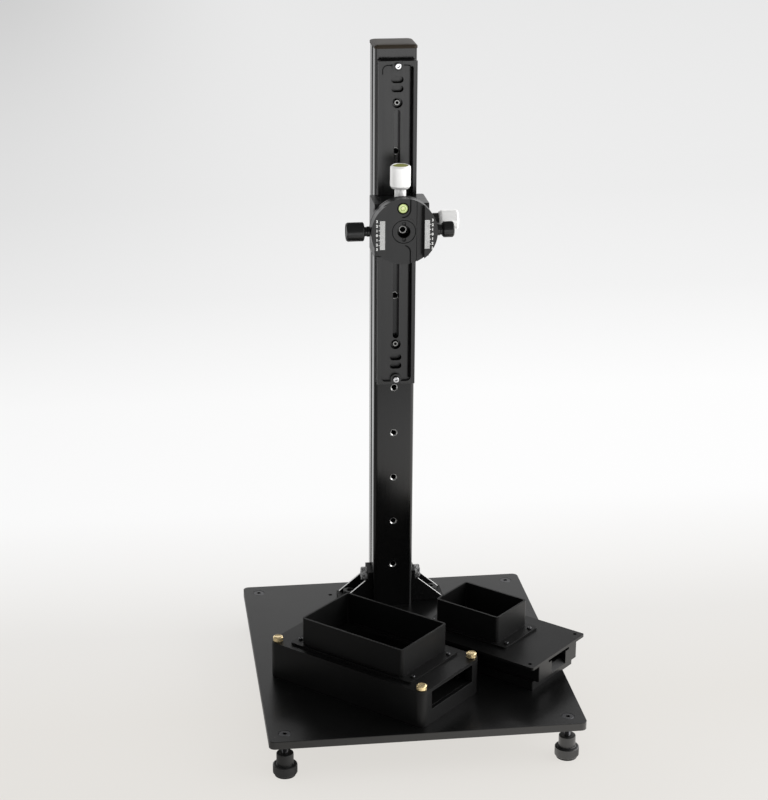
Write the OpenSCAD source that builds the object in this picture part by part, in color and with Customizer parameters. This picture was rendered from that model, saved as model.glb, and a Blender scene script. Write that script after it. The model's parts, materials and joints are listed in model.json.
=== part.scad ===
// Camera copy stand: a black base plate on four levelling feet, a slotted column
// held by two cast corner brackets, a dovetail rail on the column's front, a
// carriage made of two crossed clamps, a panning camera clamp, and two film
// carriers that stand loose on the plate.
// The origin is the middle of the base plate's top face. +Z is up and -Y is the front.

/* [Base plate] */
// Width of the base plate
plate_w = 306; // [270:1:380]
// Depth of the base plate
plate_d = 350; // [320:1:430]
// Thickness of the base plate
plate_t = 8; // [6:0.5:14]
// Corner radius of the base plate
plate_r = 6; // [2:0.5:14]
// Distance of each foot screw from the plate's two edges
foot_inset = 16; // [14:0.5:24]
// Radius of the two spare tapped holes beside the column
spare_hole_r = 2.1; // [1.5:0.1:4]
// Distance of the spare holes to either side of the plate's middle
spare_hole_x = 60; // [50:1:90]

/* [Levelling feet] */
// Length of bare stud between the plate and a foot
foot_gap = 12; // [7:0.5:20]
// Radius of the foot's upper collar
foot_collar_r = 8.25; // [6:0.25:10]
// Height of the foot's upper collar
foot_collar_h = 11.5; // [6:0.5:16]
// Radius of the foot's knurled ring
foot_ring_r = 11.8; // [9.5:0.1:15]
// Height of the foot's knurled ring
foot_ring_h = 10; // [8:0.5:16]
// Thickness of the rubber pad under a foot
pad_t = 2; // [1:0.25:4]
// Radius of the rubber pad
pad_r = 10; // [7:0.25:13]
// Radius of the foot stud's thread
foot_stud_r = 3; // [2:0.25:4]

/* [Column] */
// Width of the column, across its front
column_w = 42; // [38:1:60]
// Depth of the column, front to back
column_d = 42; // [38:1:60]
// Height of the column without its cap
column_h = 600.5; // [450:0.5:800]
// Corner radius of the column
column_r = 4; // [1:0.25:8]
// Column's centre line to the right of the plate's middle
column_x = 4; // [-20:0.5:20]
// Distance from the plate's back edge to the column's back face
column_back = 22.5; // [10:0.5:60]
// Width of a side slot at its mouth
slot_mouth = 8.2; // [6:0.1:10]
// Depth of the lips at a side slot's mouth
slot_lip = 4; // [2.5:0.25:6]
// Inner width of a side slot
slot_inner = 18; // [14:0.5:22]
// Whole depth of a side slot
slot_depth = 11.5; // [10:0.25:14]
// Height of the lowest hole in the column's front
hole_first = 48.3; // [30:0.1:80]
// Distance between the holes in the column's front
hole_pitch = 50; // [40:1:60]
// Radius of the holes in the column's front
hole_r = 2.5; // [2:0.1:3.5]
// Radius of the bright countersink round each hole
hole_sink_r = 3.5; // [3:0.1:5]
// Thickness of the cap on top of the column
cap_t = 4; // [2:0.5:8]
// How far the cap stands out past the column
cap_over = 0.6; // [0:0.1:2]

/* [Corner brackets] */
// Length of each leg of a bracket
bracket_leg = 36; // [30:1:50]
// Width of a bracket
bracket_w = 28; // [24:1:38]
// Thickness of a bracket's legs
bracket_t = 4.5; // [3:0.25:7]
// Thickness of a bracket's cheeks
cheek_t = 3.2; // [2:0.1:5]
// Height of a cheek at its thin end
cheek_lip = 2.5; // [1:0.5:10]
// Height of a cheek beside the column
cheek_top = 27; // [18:0.5:34]
// Length of a cheek's level top
cheek_flat = 7; // [2:0.5:12]
// Radius of a bracket bolt's shank
bracket_bolt_r = 3.9; // [2.5:0.1:4.5]

/* [Dovetail rail] */
// Length of the rail
rail_l = 334; // [300:1:380]
// Thickness of the rail
rail_t = 12; // [10:0.5:16]
// Width over a dovetail, on the rail and under the camera clamp
dovetail_w = 39; // [38:0.5:42]
// Height of a dovetail's straight edge
dovetail_edge = 1.5; // [0.8:0.1:2.5]
// How far each side of a dovetail slopes in
dovetail_in = 3; // [2:0.25:4]
// Height of the rail's middle over its lower screw
rail_mid = 125; // [115:1:140]
// Width of the long slot in the rail
rail_slot_w = 6.3; // [5:0.1:7]
// Half length of the long slot in the rail
rail_slot_half = 118.5; // [90:0.5:118.5]
// Width of the shallow pocket in the rail's face
pocket_w = 31.4; // [28:0.2:34]
// Depth of the shallow pocket in the rail's face
pocket_t = 3.4; // [0.6:0.1:4]
// Distance of each stop screw from the rail's middle
stop_at = 162; // [140:1:164]

/* [Carriage] */
// Height of the camera clamp's centre over the plate
head_z = 431; // [350:0.5:500]
// Clearance between a clamp's jaws and a dovetail
clamp_fit = 0.3; // [0.2:0.05:0.5]
// Reach of a clamp's jaws past the dovetail's face
jaw_reach = 6; // [5:0.25:7]
// Thickness of the clamp block on the rail
rail_clamp_t = 14.5; // [12:0.5:20]
// Height of the clamp block on the rail
rail_clamp_h = 54; // [46:0.5:70]
// How far the middle of that block lies below the camera clamp's centre
rail_clamp_drop = 2.5; // [-4:0.5:4]
// Half width of the clamp block on the rail
rail_clamp_half = 27.25; // [25:0.25:34]
// Thickness of the crosswise clamp block
cross_clamp_t = 13.2; // [11:0.2:18]
// Width of the crosswise clamp block
cross_clamp_w = 54.5; // [48:0.5:66]
// Height of the crosswise clamp block over its dovetail's middle
cross_clamp_up = 24.5; // [23.5:0.25:34]
// Reach of the crosswise clamp's moving jaw below its dovetail's middle
cross_clamp_down = 29.5; // [24.5:0.25:34]
// Radius of a clamp screw
clamp_screw_r = 3; // [2:0.25:4]
// Radius of a jaw's guide pins
guide_r = 2; // [1.5:0.1:2.5]

/* [Silver knobs] */
// Radius of the two silver knobs
silver_r = 10.25; // [8:0.25:13]
// Length of the silver knob on top
cross_knob_l = 23.5; // [16:0.5:32]
// Length of the silver knob on the right
rail_knob_l = 20; // [14:0.5:30]
// Radius of the neck below a silver knob
silver_neck_r = 5.8; // [4.5:0.1:7]
// Distance from the crosswise clamp block to its silver knob
cross_knob_gap = 12.5; // [6:0.5:18]
// Distance from the rail's clamp block to its silver knob
rail_knob_gap = 13.25; // [11:0.25:18]

/* [Panning camera clamp] */
// Radius of the round camera clamp
disc_r = 33; // [30:0.5:38]
// Thickness of the turning disc
disc_t = 13; // [12.5:0.25:16]
// Thickness of the base ring behind the disc
base_ring_t = 5.7; // [4:0.1:10]
// Length of the dovetail foot behind the base ring
foot_plate_l = 50; // [40:1:56]
// Depth of the camera plate channel in the disc
channel_t = 4.5; // [4:0.1:5]
// Distance of the fixed lip from the disc's centre
fixed_lip = 17.6; // [16.5:0.1:19]
// Distance of the moving lip from the disc's centre
moving_lip = 19.6; // [18.6:0.1:21]
// Distance of the channel floor's edge from the disc's centre
floor_edge = 12.6; // [12.5:0.1:13.5]
// Travel of the moving jaw
jaw_travel = 3; // [1:0.25:4]
// Radius of the spindle that the disc turns on
spindle_r = 8.5; // [8.5:0.25:9]
// Radius of the round cap on the spindle
spindle_cap_r = 11.6; // [10:0.1:12]
// Height of the bubble level over the disc's centre
bubble_up = 23.4; // [20:0.2:24]
// Distance of the bubble level to the left of the disc's centre
bubble_side = 1; // [0:0.1:3]
// Radius of the bubble level
bubble_r = 5.6; // [4:0.1:6.5]

/* [Black knobs] */
// Radius of the pan lock knob on the left
pan_knob_r = 9.4; // [7:0.1:12]
// Length of the pan lock knob
pan_knob_l = 18.5; // [12:0.5:26]
// Radius of the jaw knob on the right
jaw_knob_r = 7.9; // [6:0.1:10]
// Length of the jaw knob
jaw_knob_l = 12; // [8:0.5:22]
// Radius of the two black knobs' screws
black_screw_r = 2; // [1.5:0.1:2]

/* [Large film carrier] */
// Length of the large carrier's body
large_l = 188; // [160:1:210]
// Width of the large carrier's body
large_w = 98; // [88:1:120]
// Height of the large carrier's body and lid
large_h = 38; // [34:0.5:60]
// Corner radius of the large carrier's body
large_r = 8; // [4:0.5:14]
// Wall of the large carrier's body
large_wall = 4; // [3:0.25:6]
// Thickness of the large carrier's lid
large_lid_t = 3; // [2:0.25:5]
// Length over the large hood
large_hood_l = 122; // [100:1:130]
// Width over the large hood
large_hood_w = 75; // [64:1:80]
// Height of the large hood over its flange
large_hood_h = 28.5; // [15:0.5:50]
// Place of the large carrier's centre, to the right
large_x = -39.9; // [-60:0.1:-20]
// Place of the large carrier's centre, to the back
large_y = -67.4; // [-90:0.1:-40]
// Turn of the large carrier
large_turn = -43.8; // [-60:0.1:-30]

/* [Small film carrier] */
// Length of the small carrier's top plate
small_l = 146; // [130:1:160]
// Width of the small carrier's top plate
small_w = 97; // [84:1:110]
// Thickness of the small carrier's top plate
small_top_t = 3; // [2:0.25:5]
// Width of the small carrier's middle block
small_block_w = 70.5; // [60:0.5:80]
// Height of the small carrier's middle block
small_block_h = 17; // [14:0.5:30]
// How far the middle block lies off the top plate's middle, towards the front
small_block_shift = 1.5; // [-4:0.1:4]
// Width of the small carrier's bottom plate
small_base_w = 74.6; // [60:0.2:84]
// Height of the small carrier's bottom plate
small_base_h = 9.5; // [5:0.5:16]
// How far the bottom plate lies off the top plate's middle, towards the front
small_base_shift = 3.2; // [-4:0.1:4]
// Inset of the bottom plate from the carrier's ends
small_base_inset = 5; // [0:0.5:12]
// Length over the small hood
small_hood_l = 75.2; // [60:0.2:84]
// Width over the small hood
small_hood_w = 53.5; // [44:0.5:58]
// Height of the small hood over its flange
small_hood_h = 28; // [15:0.5:50]
// Distance of the small hood from the top plate's middle, along its length
small_hood_at = -21; // [-30:0.5:0]
// Place of the small carrier's centre, to the right
small_x = 92.6; // [80:0.1:110]
// Place of the small carrier's centre, to the back
small_y = -27.6; // [-50:0.1:-10]
// Turn of the small carrier
small_turn = -44.3; // [-60:0.1:-30]

/* [Hood walls and flanges] */
// Wall of both hoods
hood_wall = 2; // [1.5:0.1:3]
// Corner radius of both hoods
hood_r = 3; // [2.5:0.25:6]
// Thickness of both hoods' flanges
flange_t = 2; // [1.5:0.25:4]
// How far a flange reaches past its hood at each end
flange_end = 12; // [10:0.5:16]
// How far a flange reaches past its hood at each side
flange_side = 3.6; // [2:0.1:6]
// Radius of a flange screw's head
flange_screw_r = 2.2; // [1.5:0.1:3]

/* [Hidden] */
$fn = 64;

// Clearance of a turning or sliding shaft in its hole, on the radius
run_fit = 0.05;
// Clearance of a fixed screw or pin in its hole, on the radius
set_fit = 0.02;
// Clearance between pieces that pass each other
pass_gap = 0.3;
// Overlap of cutting solids past the faces they cut
eps = 1;
root2 = sqrt(2);

foot_sides = [[-1, -1], [1, -1], [-1, 1], [1, 1]];
foot_x = plate_w / 2 - foot_inset;
foot_y = plate_d / 2 - foot_inset;
foot_top = -plate_t - foot_gap;
foot_h = foot_collar_h + foot_ring_h;
floor_z = foot_top - foot_h - pad_t;
foot_stud_end = foot_top - foot_collar_h;
foot_bore_h = foot_h - 4;
pad_stem_r = 2.5;
pad_stem_h = 3;
sink_r = 5.8;

column_front = plate_d / 2 - column_back - column_d;
column_mid = column_front + column_d / 2;
hole_margin = 20;
hole_count = floor((column_h - hole_margin - hole_first) / hole_pitch) + 1;
corner_bore = 13.5;
corner_bore_r = 2.6;
column_bolt_l = 18;
slot_taper = 3;

rail_z = hole_first + 5 * hole_pitch + rail_mid;
rail_front = column_front - rail_t;
rail_neck_y = dovetail_edge + dovetail_in;
dovetail_half = dovetail_w / 2;
neck_half = dovetail_half - dovetail_in;
rail_screw_r = hole_r - run_fit;
rail_head_r = 3.2;
rail_head_h = 3.2;
rail_bore_r = 5.2;
rail_seat = 8.4;
rail_grip = 9.6;
stop_head_r = 3.2;
stop_head_h = 3.2;
stop_boss_r = 5.6;
stop_notch_w = 8.6;
stop_notch_t = 1;
pocket_over = 2;
end_slot_l = 12.2;
end_slot_w = 6.6;
end_slot_t = 9;

body_face = clamp_fit;
rail_axis_y = rail_front - body_face - rail_clamp_t / 2;
rail_clamp_front = rail_front - body_face - rail_clamp_t;
cross_face = rail_clamp_front - cross_clamp_t - body_face;
cross_axis_y = rail_clamp_front - cross_clamp_t / 2;
jaw_split = 0.6;
boss_r = 6.2;
rail_boss_l = 6.5;
cross_boss_l = 1.5;
guide_inset = 10;
guide_start = 1.6;
guide_l = 22;
guide_room = 1.2;

foot_back = cross_face;
base_back = foot_back - jaw_reach - pass_gap - 0.2;
base_front = base_back - base_ring_t;
disc_back = base_front - pass_gap;
disc_face = disc_back - disc_t;
floor_y = disc_face + channel_t;
cap_front = floor_y + 0.1;
cap_thick = 3;
cap_well_r = 6.5;
sleeve_r = 7.35;
sleeve_l = 5;
bolt_seat = cap_front + 13;
bolt_head_h = 3.6;
bolt_head_r = 4.3;
spanner_at = 8;
spanner_r = 1.8;
bore_step = cap_front + cap_thick + pass_gap;
ledge_y = floor_y + 2.6;
jaw_back = ledge_y - pass_gap;
jaw_in = floor_edge + pass_gap;
ledge_end = 25;
jaw_wall = ledge_end + pass_gap;
black_y = disc_back - 3.1;
jaw_guide_z = 12;
jaw_guide_r = 1.5;
jaw_guide_deep = jaw_travel + 1;
lock_pad_l = 2;

nut_r = 5;
nut_h = 5;
stud_r = 2;
post_r = 6.2;
post_in = 6.6;
large_body_h = large_h - large_lid_t;
large_floor_t = 3;
window_w = 69;
window_low = 15.5;
window_high = large_body_h - 0.7;
large_gate_l = 92;
large_gate_w = 60;
gate_low = 11;
gate_t = 4;

small_end = small_l / 2;
small_top_z = small_base_h + small_block_h;
small_h = small_top_z + small_top_t;
film_w = 38;
film_t = 2.5;
notch_w = 26;
notch_deep = 22;
notch_low = small_base_h + 6;
well_l = 40;
well_w = 28;
corner_hole_r = 2;
corner_hole_in = 7.5;

module rounded(w, d, r) {
    for (s = [-1, 1], t = [-1, 1])
        translate([s * (w / 2 - r), t * (d / 2 - r)])
            circle(r);
    square([w - 2 * r, d], center = true);
    square([w, d - 2 * r], center = true);
}

module block(w, d, h, r) {
    linear_extrude(h)
        rounded(w, d, r);
}

module frame_block(w, d, h, r, in_w, in_d, in_r) {
    linear_extrude(h)
        difference() {
            rounded(w, d, r);
            rounded(in_w, in_d, in_r);
        }
}

// A cylinder along +X from x = 0
module along_x(r, l) {
    rotate([0, 90, 0])
        cylinder(r = r, h = l);
}

// A cylinder along -Y, from y = 0 towards the front
module to_front(r, l) {
    rotate([90, 0, 0])
        cylinder(r = r, h = l);
}

// A prism with six equal sides along +Z
module hex(flats, h) {
    cylinder(r = flats / sqrt(3), h = h, $fn = 6);
}

// A turned shape along +X, from points given as [distance along the axis, radius]
module turned(points) {
    rotate([0, 90, 0])
        rotate_extrude()
            polygon([for (p = points) [p[1], p[0]]]);
}

// A screw with a flat-topped sunk head, its head's top at z = 0 and its shank down
module sunk_screw(head_r, shank_r, l, socket) {
    difference() {
        rotate_extrude()
            polygon([[0, 0], [head_r, 0], [head_r, -0.4], [shank_r, -0.4 - head_r + shank_r],
                     [shank_r, -l], [0, -l]]);
        translate([0, 0, -2.6])
            hex(socket, 3.6);
    }
}

module sunk_hole(head_r, shank_r, l) {
    rotate_extrude()
        polygon([[0, eps], [head_r, eps], [head_r, -0.4], [shank_r, -0.4 - head_r + shank_r],
                 [shank_r, -l], [0, -l]]);
}

// A round-headed screw with a hex socket, the head's seat at z = 0 and its shank down
module head_screw(head_r, head_h, shank_r, l, socket) {
    difference() {
        union() {
            cylinder(r = head_r, h = head_h - 0.5);
            translate([0, 0, head_h - 0.5])
                cylinder(r1 = head_r, r2 = head_r - 0.5, h = 0.5);
            translate([0, 0, -l])
                cylinder(r = shank_r, h = l + 0.2);
        }
        translate([0, 0, head_h - min(head_h * 0.6, 2.6)])
            hex(socket, head_h);
    }
}

module at_feet() {
    for (s = foot_sides)
        translate([s[0] * foot_x, s[1] * foot_y, 0])
            children();
}

module base_plate() {
    color("#1b1b1c")
        difference() {
            translate([0, 0, -plate_t])
                block(plate_w, plate_d, plate_t, plate_r);
            at_feet()
                sunk_hole(sink_r + pass_gap, foot_stud_r + set_fit, plate_t + eps);
            for (s = [-1, 1])
                translate([s * spare_hole_x, column_mid + 13, -plate_t - eps])
                    cylinder(r = spare_hole_r, h = plate_t + 2 * eps);
            at_column_bores()
                translate([0, 0, -plate_t])
                    rotate([180, 0, 0])
                        sunk_hole(sink_r, corner_bore_r, plate_t + eps);
            at_bracket_feet()
                translate([0, 0, -plate_t - eps])
                    cylinder(r = bracket_bolt_r + set_fit, h = plate_t + 2 * eps);
        }
}

module foot_studs() {
    color("#2b2b2d")
        at_feet()
            translate([0, 0, -0.1])
                sunk_screw(sink_r, foot_stud_r, -foot_stud_end - 0.1, 4);
}

module foot(s) {
    collar_low = foot_h - foot_collar_h;
    color("#1d1d1f")
        translate([s[0] * foot_x, s[1] * foot_y, foot_top - foot_h])
            difference() {
                rotate_extrude()
                    polygon([[0, 0], [foot_ring_r - 1, 0], [foot_ring_r, 1], [foot_ring_r, collar_low - 1],
                             [foot_ring_r - 1, collar_low], [foot_collar_r, collar_low],
                             [foot_collar_r, foot_h - 0.8], [foot_collar_r - 0.8, foot_h], [0, foot_h]]);
                translate([0, 0, foot_h - foot_bore_h])
                    cylinder(r = foot_stud_r + run_fit, h = foot_bore_h + eps);
                translate([0, 0, -eps])
                    cylinder(r = pad_stem_r + run_fit, h = pad_stem_h + eps + 0.2);
            }
}

module foot_pad(s) {
    color("#111111")
        translate([s[0] * foot_x, s[1] * foot_y, floor_z]) {
            cylinder(r = pad_r, h = pad_t - 0.1);
            cylinder(r = pad_stem_r, h = pad_t + pad_stem_h);
        }
}

module slot_shape() {
    half = slot_inner / 2;
    floor_half = half - slot_taper;
    polygon([[-eps, -slot_mouth / 2], [slot_lip, -slot_mouth / 2], [slot_lip, -half],
             [slot_depth - slot_taper, -half], [slot_depth, -floor_half], [slot_depth, floor_half],
             [slot_depth - slot_taper, half], [slot_lip, half], [slot_lip, slot_mouth / 2],
             [-eps, slot_mouth / 2]]);
}

module at_column_bores() {
    for (s = [-1, 1], t = [-1, 1])
        translate([column_x + s * corner_bore, column_mid + t * corner_bore, 0])
            children();
}

module column() {
    color("#161617")
        difference() {
            translate([column_x, column_mid, 0])
                linear_extrude(column_h)
                    difference() {
                        rounded(column_w, column_d, column_r);
                        translate([-column_w / 2, 0])
                            slot_shape();
                        translate([column_w / 2, 0])
                            rotate(180)
                                slot_shape();
                        translate([0, column_d / 2])
                            rotate(-90)
                                slot_shape();
                        circle(3.4);
                    }
            at_column_bores()
                translate([0, 0, -eps])
                    cylinder(r = corner_bore_r, h = column_bolt_l + 4);
            for (i = [0 : hole_count - 1])
                translate([column_x, column_front, hole_first + i * hole_pitch]) {
                    translate([0, slot_depth, 0])
                        to_front(hole_r, slot_depth + eps);
                    translate([0, hole_sink_r - hole_r, 0])
                        rotate([90, 0, 0])
                            cylinder(r1 = hole_r, r2 = hole_sink_r + eps, h = hole_sink_r - hole_r + eps);
                }
        }
}

module column_cap() {
    w = column_w + 2 * cap_over;
    d = column_d + 2 * cap_over;
    r = column_r + cap_over;
    color("#101011")
        translate([column_x, column_mid, column_h]) {
            block(w, d, cap_t - 1.2, r);
            translate([0, 0, cap_t - 1.2])
                block(w - 1, d - 1, 0.7, r - 0.5);
            translate([0, 0, cap_t - 0.5])
                block(w - 3, d - 3, 0.5, r - 1.5);
            translate([0, 0, -5])
                cylinder(r = 3.4 - set_fit, h = 5.2);
        }
}

module column_bolts() {
    color("#2b2b2d")
        at_column_bores()
            translate([0, 0, -plate_t])
                rotate([180, 0, 0])
                    sunk_screw(sink_r - set_fit, corner_bore_r - run_fit, plate_t + column_bolt_l, 3.5);
}

module cheek(y) {
    translate([0, y + cheek_t / 2, 0])
        rotate([90, 0, 0])
            linear_extrude(cheek_t)
                polygon([[0, 0], [bracket_leg, 0], [bracket_leg, cheek_lip], [cheek_flat, cheek_top],
                         [0, cheek_top]]);
}

bracket_bolt_at = bracket_leg - 13;
bracket_bolt_up = bracket_leg - 6.5;
bracket_head_r = 7.2;
bracket_head_h = 6.4;
bracket_side = bracket_w / 2 - cheek_t / 2;

module bracket() {
    difference() {
        union() {
            translate([0, -bracket_w / 2, 0])
                cube([bracket_leg, bracket_w, bracket_t]);
            translate([0, -bracket_w / 2, 0])
                cube([bracket_t, bracket_w, bracket_leg]);
            for (s = [-1, 1])
                cheek(s * bracket_side);
        }
        translate([bracket_bolt_at, 0, -eps])
            cylinder(r = bracket_bolt_r + pass_gap, h = bracket_t + 2 * eps);
        translate([-eps, 0, bracket_bolt_up])
            along_x(bracket_bolt_r + pass_gap, bracket_t + 2 * eps);
    }
}

// Places a piece of the right-hand bracket, and its mirror image on the left
module on_side(s) {
    translate([column_x, column_mid, 0])
        mirror([s < 0 ? 1 : 0, 0, 0])
            translate([column_w / 2, 0, 0])
                children();
}

module at_bracket_feet() {
    for (s = [-1, 1])
        on_side(s)
            translate([bracket_bolt_at, 0, 0])
                children();
}

module bracket_left() {
    color("#3a3b3d")
        on_side(-1)
            bracket();
}

module bracket_right() {
    color("#3a3b3d")
        on_side(1)
            bracket();
}

module bracket_bolts() {
    color("#8d9094")
        for (s = [-1, 1])
            on_side(s) {
                translate([bracket_bolt_at, 0, bracket_t])
                    head_screw(bracket_head_r, bracket_head_h, bracket_bolt_r, bracket_t + plate_t - 1, 6);
                translate([bracket_t, 0, bracket_bolt_up])
                    rotate([0, 90, 0])
                        head_screw(bracket_head_r, bracket_head_h, bracket_bolt_r,
                                   bracket_t + slot_depth - 1.2, 6);
            }
}

module slot_nuts() {
    nut_t = slot_depth - slot_taper - slot_lip;
    color("#8d9094")
        for (s = [-1, 1])
            on_side(s)
                difference() {
                    translate([-slot_lip - nut_t, -slot_inner / 2 + 0.2, bracket_bolt_up - 8])
                        cube([nut_t, slot_inner - 0.4, 16]);
                    translate([-slot_depth, 0, bracket_bolt_up])
                        along_x(bracket_bolt_r + set_fit, slot_depth);
                }
}

// The rail's outline seen from above, its face at y = 0 and its back at y = rail_t
module rail_outline() {
    back_y = rail_t - 3.5;
    flare_y = back_y - dovetail_in;
    polygon([[-dovetail_half, 0], [dovetail_half, 0], [dovetail_half, dovetail_edge],
             [neck_half, rail_neck_y], [neck_half, max(flare_y, rail_neck_y)],
             [dovetail_half, back_y + 1], [dovetail_half, rail_t],
             [-dovetail_half, rail_t], [-dovetail_half, back_y + 1],
             [-neck_half, max(flare_y, rail_neck_y)], [-neck_half, rail_neck_y],
             [-dovetail_half, dovetail_edge]]);
}

// Draws a flat shape on the rail's face and cuts it to a depth
module into_face(depth) {
    translate([0, depth, 0])
        rotate([90, 0, 0])
            linear_extrude(depth + eps)
                children();
}

module obround(l, w) {
    for (s = [-1, 1])
        translate([s * (l - w) / 2, 0])
            circle(w / 2);
    square([l - w, w], center = true);
}

// The keyhole notch round a stop screw, open to the rail's end on side s
module stop_notch(s) {
    circle(stop_notch_w / 2);
    translate([-stop_notch_w / 2, min(0, s * rail_l / 2)])
        square([stop_notch_w, rail_l / 2]);
}

module rail_plate() {
    color("#131314")
        translate([column_x, rail_front, rail_z])
            difference() {
                translate([0, 0, -rail_l / 2])
                    linear_extrude(rail_l)
                        rail_outline();
                into_face(pocket_t)
                    difference() {
                        rounded(pocket_w, 2 * (stop_at + pocket_over), 5);
                        for (s = [-1, 1])
                            translate([0, s * stop_at])
                                circle(stop_boss_r);
                    }
                into_face(rail_t + eps)
                    rotate(90)
                        obround(2 * rail_slot_half, rail_slot_w);
                for (s = [-1, 1])
                    into_face(stop_notch_t)
                        translate([0, s * stop_at])
                            stop_notch(s);
                for (s = [-1, 1], at = [139, 148])
                    into_face(end_slot_t)
                        translate([0, s * at])
                            obround(end_slot_l, end_slot_w);
                for (s = [-1, 1]) {
                    translate([0, rail_seat, s * rail_mid])
                        to_front(rail_bore_r, rail_seat + eps);
                    translate([0, rail_t + eps, s * rail_mid])
                        to_front(rail_screw_r + pass_gap, rail_t + 2 * eps);
                    translate([0, rail_t - 2, s * stop_at])
                        to_front(1.9 + set_fit, rail_t);
                }
            }
}

module rail_screws() {
    color("#1a1a1b")
        for (s = [-1, 1])
            translate([column_x, rail_front + rail_seat, rail_z + s * rail_mid])
                rotate([90, 0, 0])
                    head_screw(rail_head_r, rail_head_h, rail_screw_r, rail_t - rail_seat + rail_grip, 3);
}

module stop_screws() {
    color("#c9cacc")
        for (s = [-1, 1])
            translate([column_x, rail_front + stop_notch_t, rail_z + s * stop_at])
                rotate([90, 0, 0])
                    head_screw(stop_head_r, stop_head_h, 1.9, 8, 2.5);
}

// Half outline of a jaw over a dovetail that faces +Y, out to a given half width
module jaw_outline(out) {
    edge_y = dovetail_edge + clamp_fit * (root2 - 1);
    polygon([[dovetail_half + clamp_fit, -clamp_fit], [dovetail_half + clamp_fit, edge_y],
             [neck_half + clamp_fit, edge_y + dovetail_in], [neck_half + clamp_fit, jaw_reach - 0.4],
             [neck_half + clamp_fit + 0.4, jaw_reach], [out - 1.5, jaw_reach], [out, jaw_reach - 1.5],
             [out, -clamp_fit]]);
}

// The clamp's fixed half: its knob side is +X, its channel runs along Z, l long and drop lower than centred
module clamp_body(t, l, drop, up, down, boss_l) {
    inner = dovetail_half + clamp_fit - jaw_split;
    guide_end = guide_start + guide_l + guide_room - down;
    difference() {
        union() {
            translate([0, 0, -l / 2 - drop])
                linear_extrude(l) {
                    translate([0, -clamp_fit])
                        jaw_join(up);
                    jaw_outline(up);
                    translate([-inner, -clamp_fit - t])
                        square([inner + up, t]);
                }
            translate([up, -clamp_fit - t / 2, 0])
                along_x(min(boss_r, t / 2), boss_l);
        }
        translate([-inner - eps, -clamp_fit - t / 2, 0])
            along_x(clamp_screw_r + run_fit, inner + up + boss_l + 2 * eps);
        for (s = [-1, 1])
            translate([-inner - eps, -clamp_fit - t / 2, s * (l / 2 - guide_inset)])
                along_x(guide_r + set_fit, guide_end + inner + eps);
    }
}

// Joins the fixed jaw to the floor of its clamp
module jaw_join(out) {
    translate([dovetail_half + clamp_fit, -0.5])
        square([out - dovetail_half - clamp_fit, 0.6]);
}

// The clamp's moving half, on the side away from the knob
module clamp_jaw(t, l, drop, down) {
    inner = dovetail_half + clamp_fit;
    difference() {
        translate([0, 0, -l / 2 - drop])
            linear_extrude(l) {
                mirror([1, 0])
                    jaw_outline(down);
                translate([-down, -clamp_fit - t + pass_gap])
                    square([down - inner, t - pass_gap + 0.1]);
            }
        translate([-down - eps, -clamp_fit - t / 2, 0])
            along_x(clamp_screw_r + run_fit, down);
        for (s = [-1, 1])
            translate([-down + guide_start - 0.6, -clamp_fit - t / 2, s * (l / 2 - guide_inset)])
                along_x(guide_r + run_fit, down);
    }
}

module clamp_guides(t, l, down) {
    for (s = [-1, 1])
        translate([-down + guide_start, -clamp_fit - t / 2, s * (l / 2 - guide_inset)])
            along_x(guide_r, guide_l);
}

// Puts a clamp on the rail
module on_rail() {
    translate([column_x, rail_front, head_z])
        children();
}

// Turns a clamp so that its channel runs across, opens to the front, and its knob is on top
module crosswise() {
    translate([column_x, cross_face, head_z])
        rotate(a = 180, v = [1, 0, 1])
            children();
}

module rail_clamp() {
    color("#161617")
        difference() {
            on_rail()
                clamp_body(rail_clamp_t, rail_clamp_h, rail_clamp_drop, rail_clamp_half, rail_clamp_half,
                           rail_boss_l);
            at_clamp_screws()
                translate([0, rail_front + eps, 0])
                    to_front(2.5 + set_fit, rail_clamp_t + 2 * eps);
            at_clamp_screws()
                translate([0, rail_front + eps, 0])
                    to_front(4.4 + pass_gap, 5 + eps);
        }
}

module cross_clamp() {
    color("#161617")
        difference() {
            crosswise()
                clamp_body(cross_clamp_t, cross_clamp_w, 0, cross_clamp_up, cross_clamp_down, cross_boss_l);
            at_clamp_screws()
                translate([0, rail_clamp_front + eps, 0])
                    to_front(2.5 + set_fit, cross_clamp_t - 2 + eps);
        }
}

module at_clamp_screws() {
    for (s = [-1, 1])
        translate([column_x + s * 11, 0, head_z + s * 11])
            children();
}

module clamp_screws() {
    color("#2b2b2d")
        at_clamp_screws()
            translate([0, rail_front - body_face - 4.6, 0])
                rotate([-90, 0, 0])
                    head_screw(4.4, 4, 2.5, rail_clamp_t - 4.6 + cross_clamp_t - 3, 3);
}

module jaw_guides() {
    color("#b9bbbe") {
        on_rail()
            clamp_guides(rail_clamp_t, rail_clamp_h, rail_clamp_half);
        crosswise()
            clamp_guides(cross_clamp_t, cross_clamp_w, cross_clamp_down);
    }
}

module rail_jaw() {
    color("#161617")
        on_rail()
            clamp_jaw(rail_clamp_t, rail_clamp_h, rail_clamp_drop, rail_clamp_half);
}

module cross_jaw() {
    color("#161617")
        crosswise()
            clamp_jaw(cross_clamp_t, cross_clamp_w, 0, cross_clamp_down);
}

// A silver knob along +X from its clamp block's side, with a blind hole for its screw
module silver_knob(gap, neck_from, l, hollow_end) {
    far = gap + l;
    difference() {
        turned([[neck_from, 0], [neck_from, silver_neck_r], [gap, silver_neck_r], [gap, silver_r - 2.4],
                [gap + 1, silver_r - 1.2], [gap + 3, silver_r], [far - 1.6, silver_r], [far, silver_r - 1.6],
                [far, 0]]);
        translate([neck_from - eps, 0, 0])
            along_x(clamp_screw_r + set_fit, gap - neck_from + l - 8);
        if (hollow_end)
            translate([far - 1.5, 0, 0])
                along_x(silver_r - 2.4 + set_fit, 1.5 + eps);
    }
}

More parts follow.
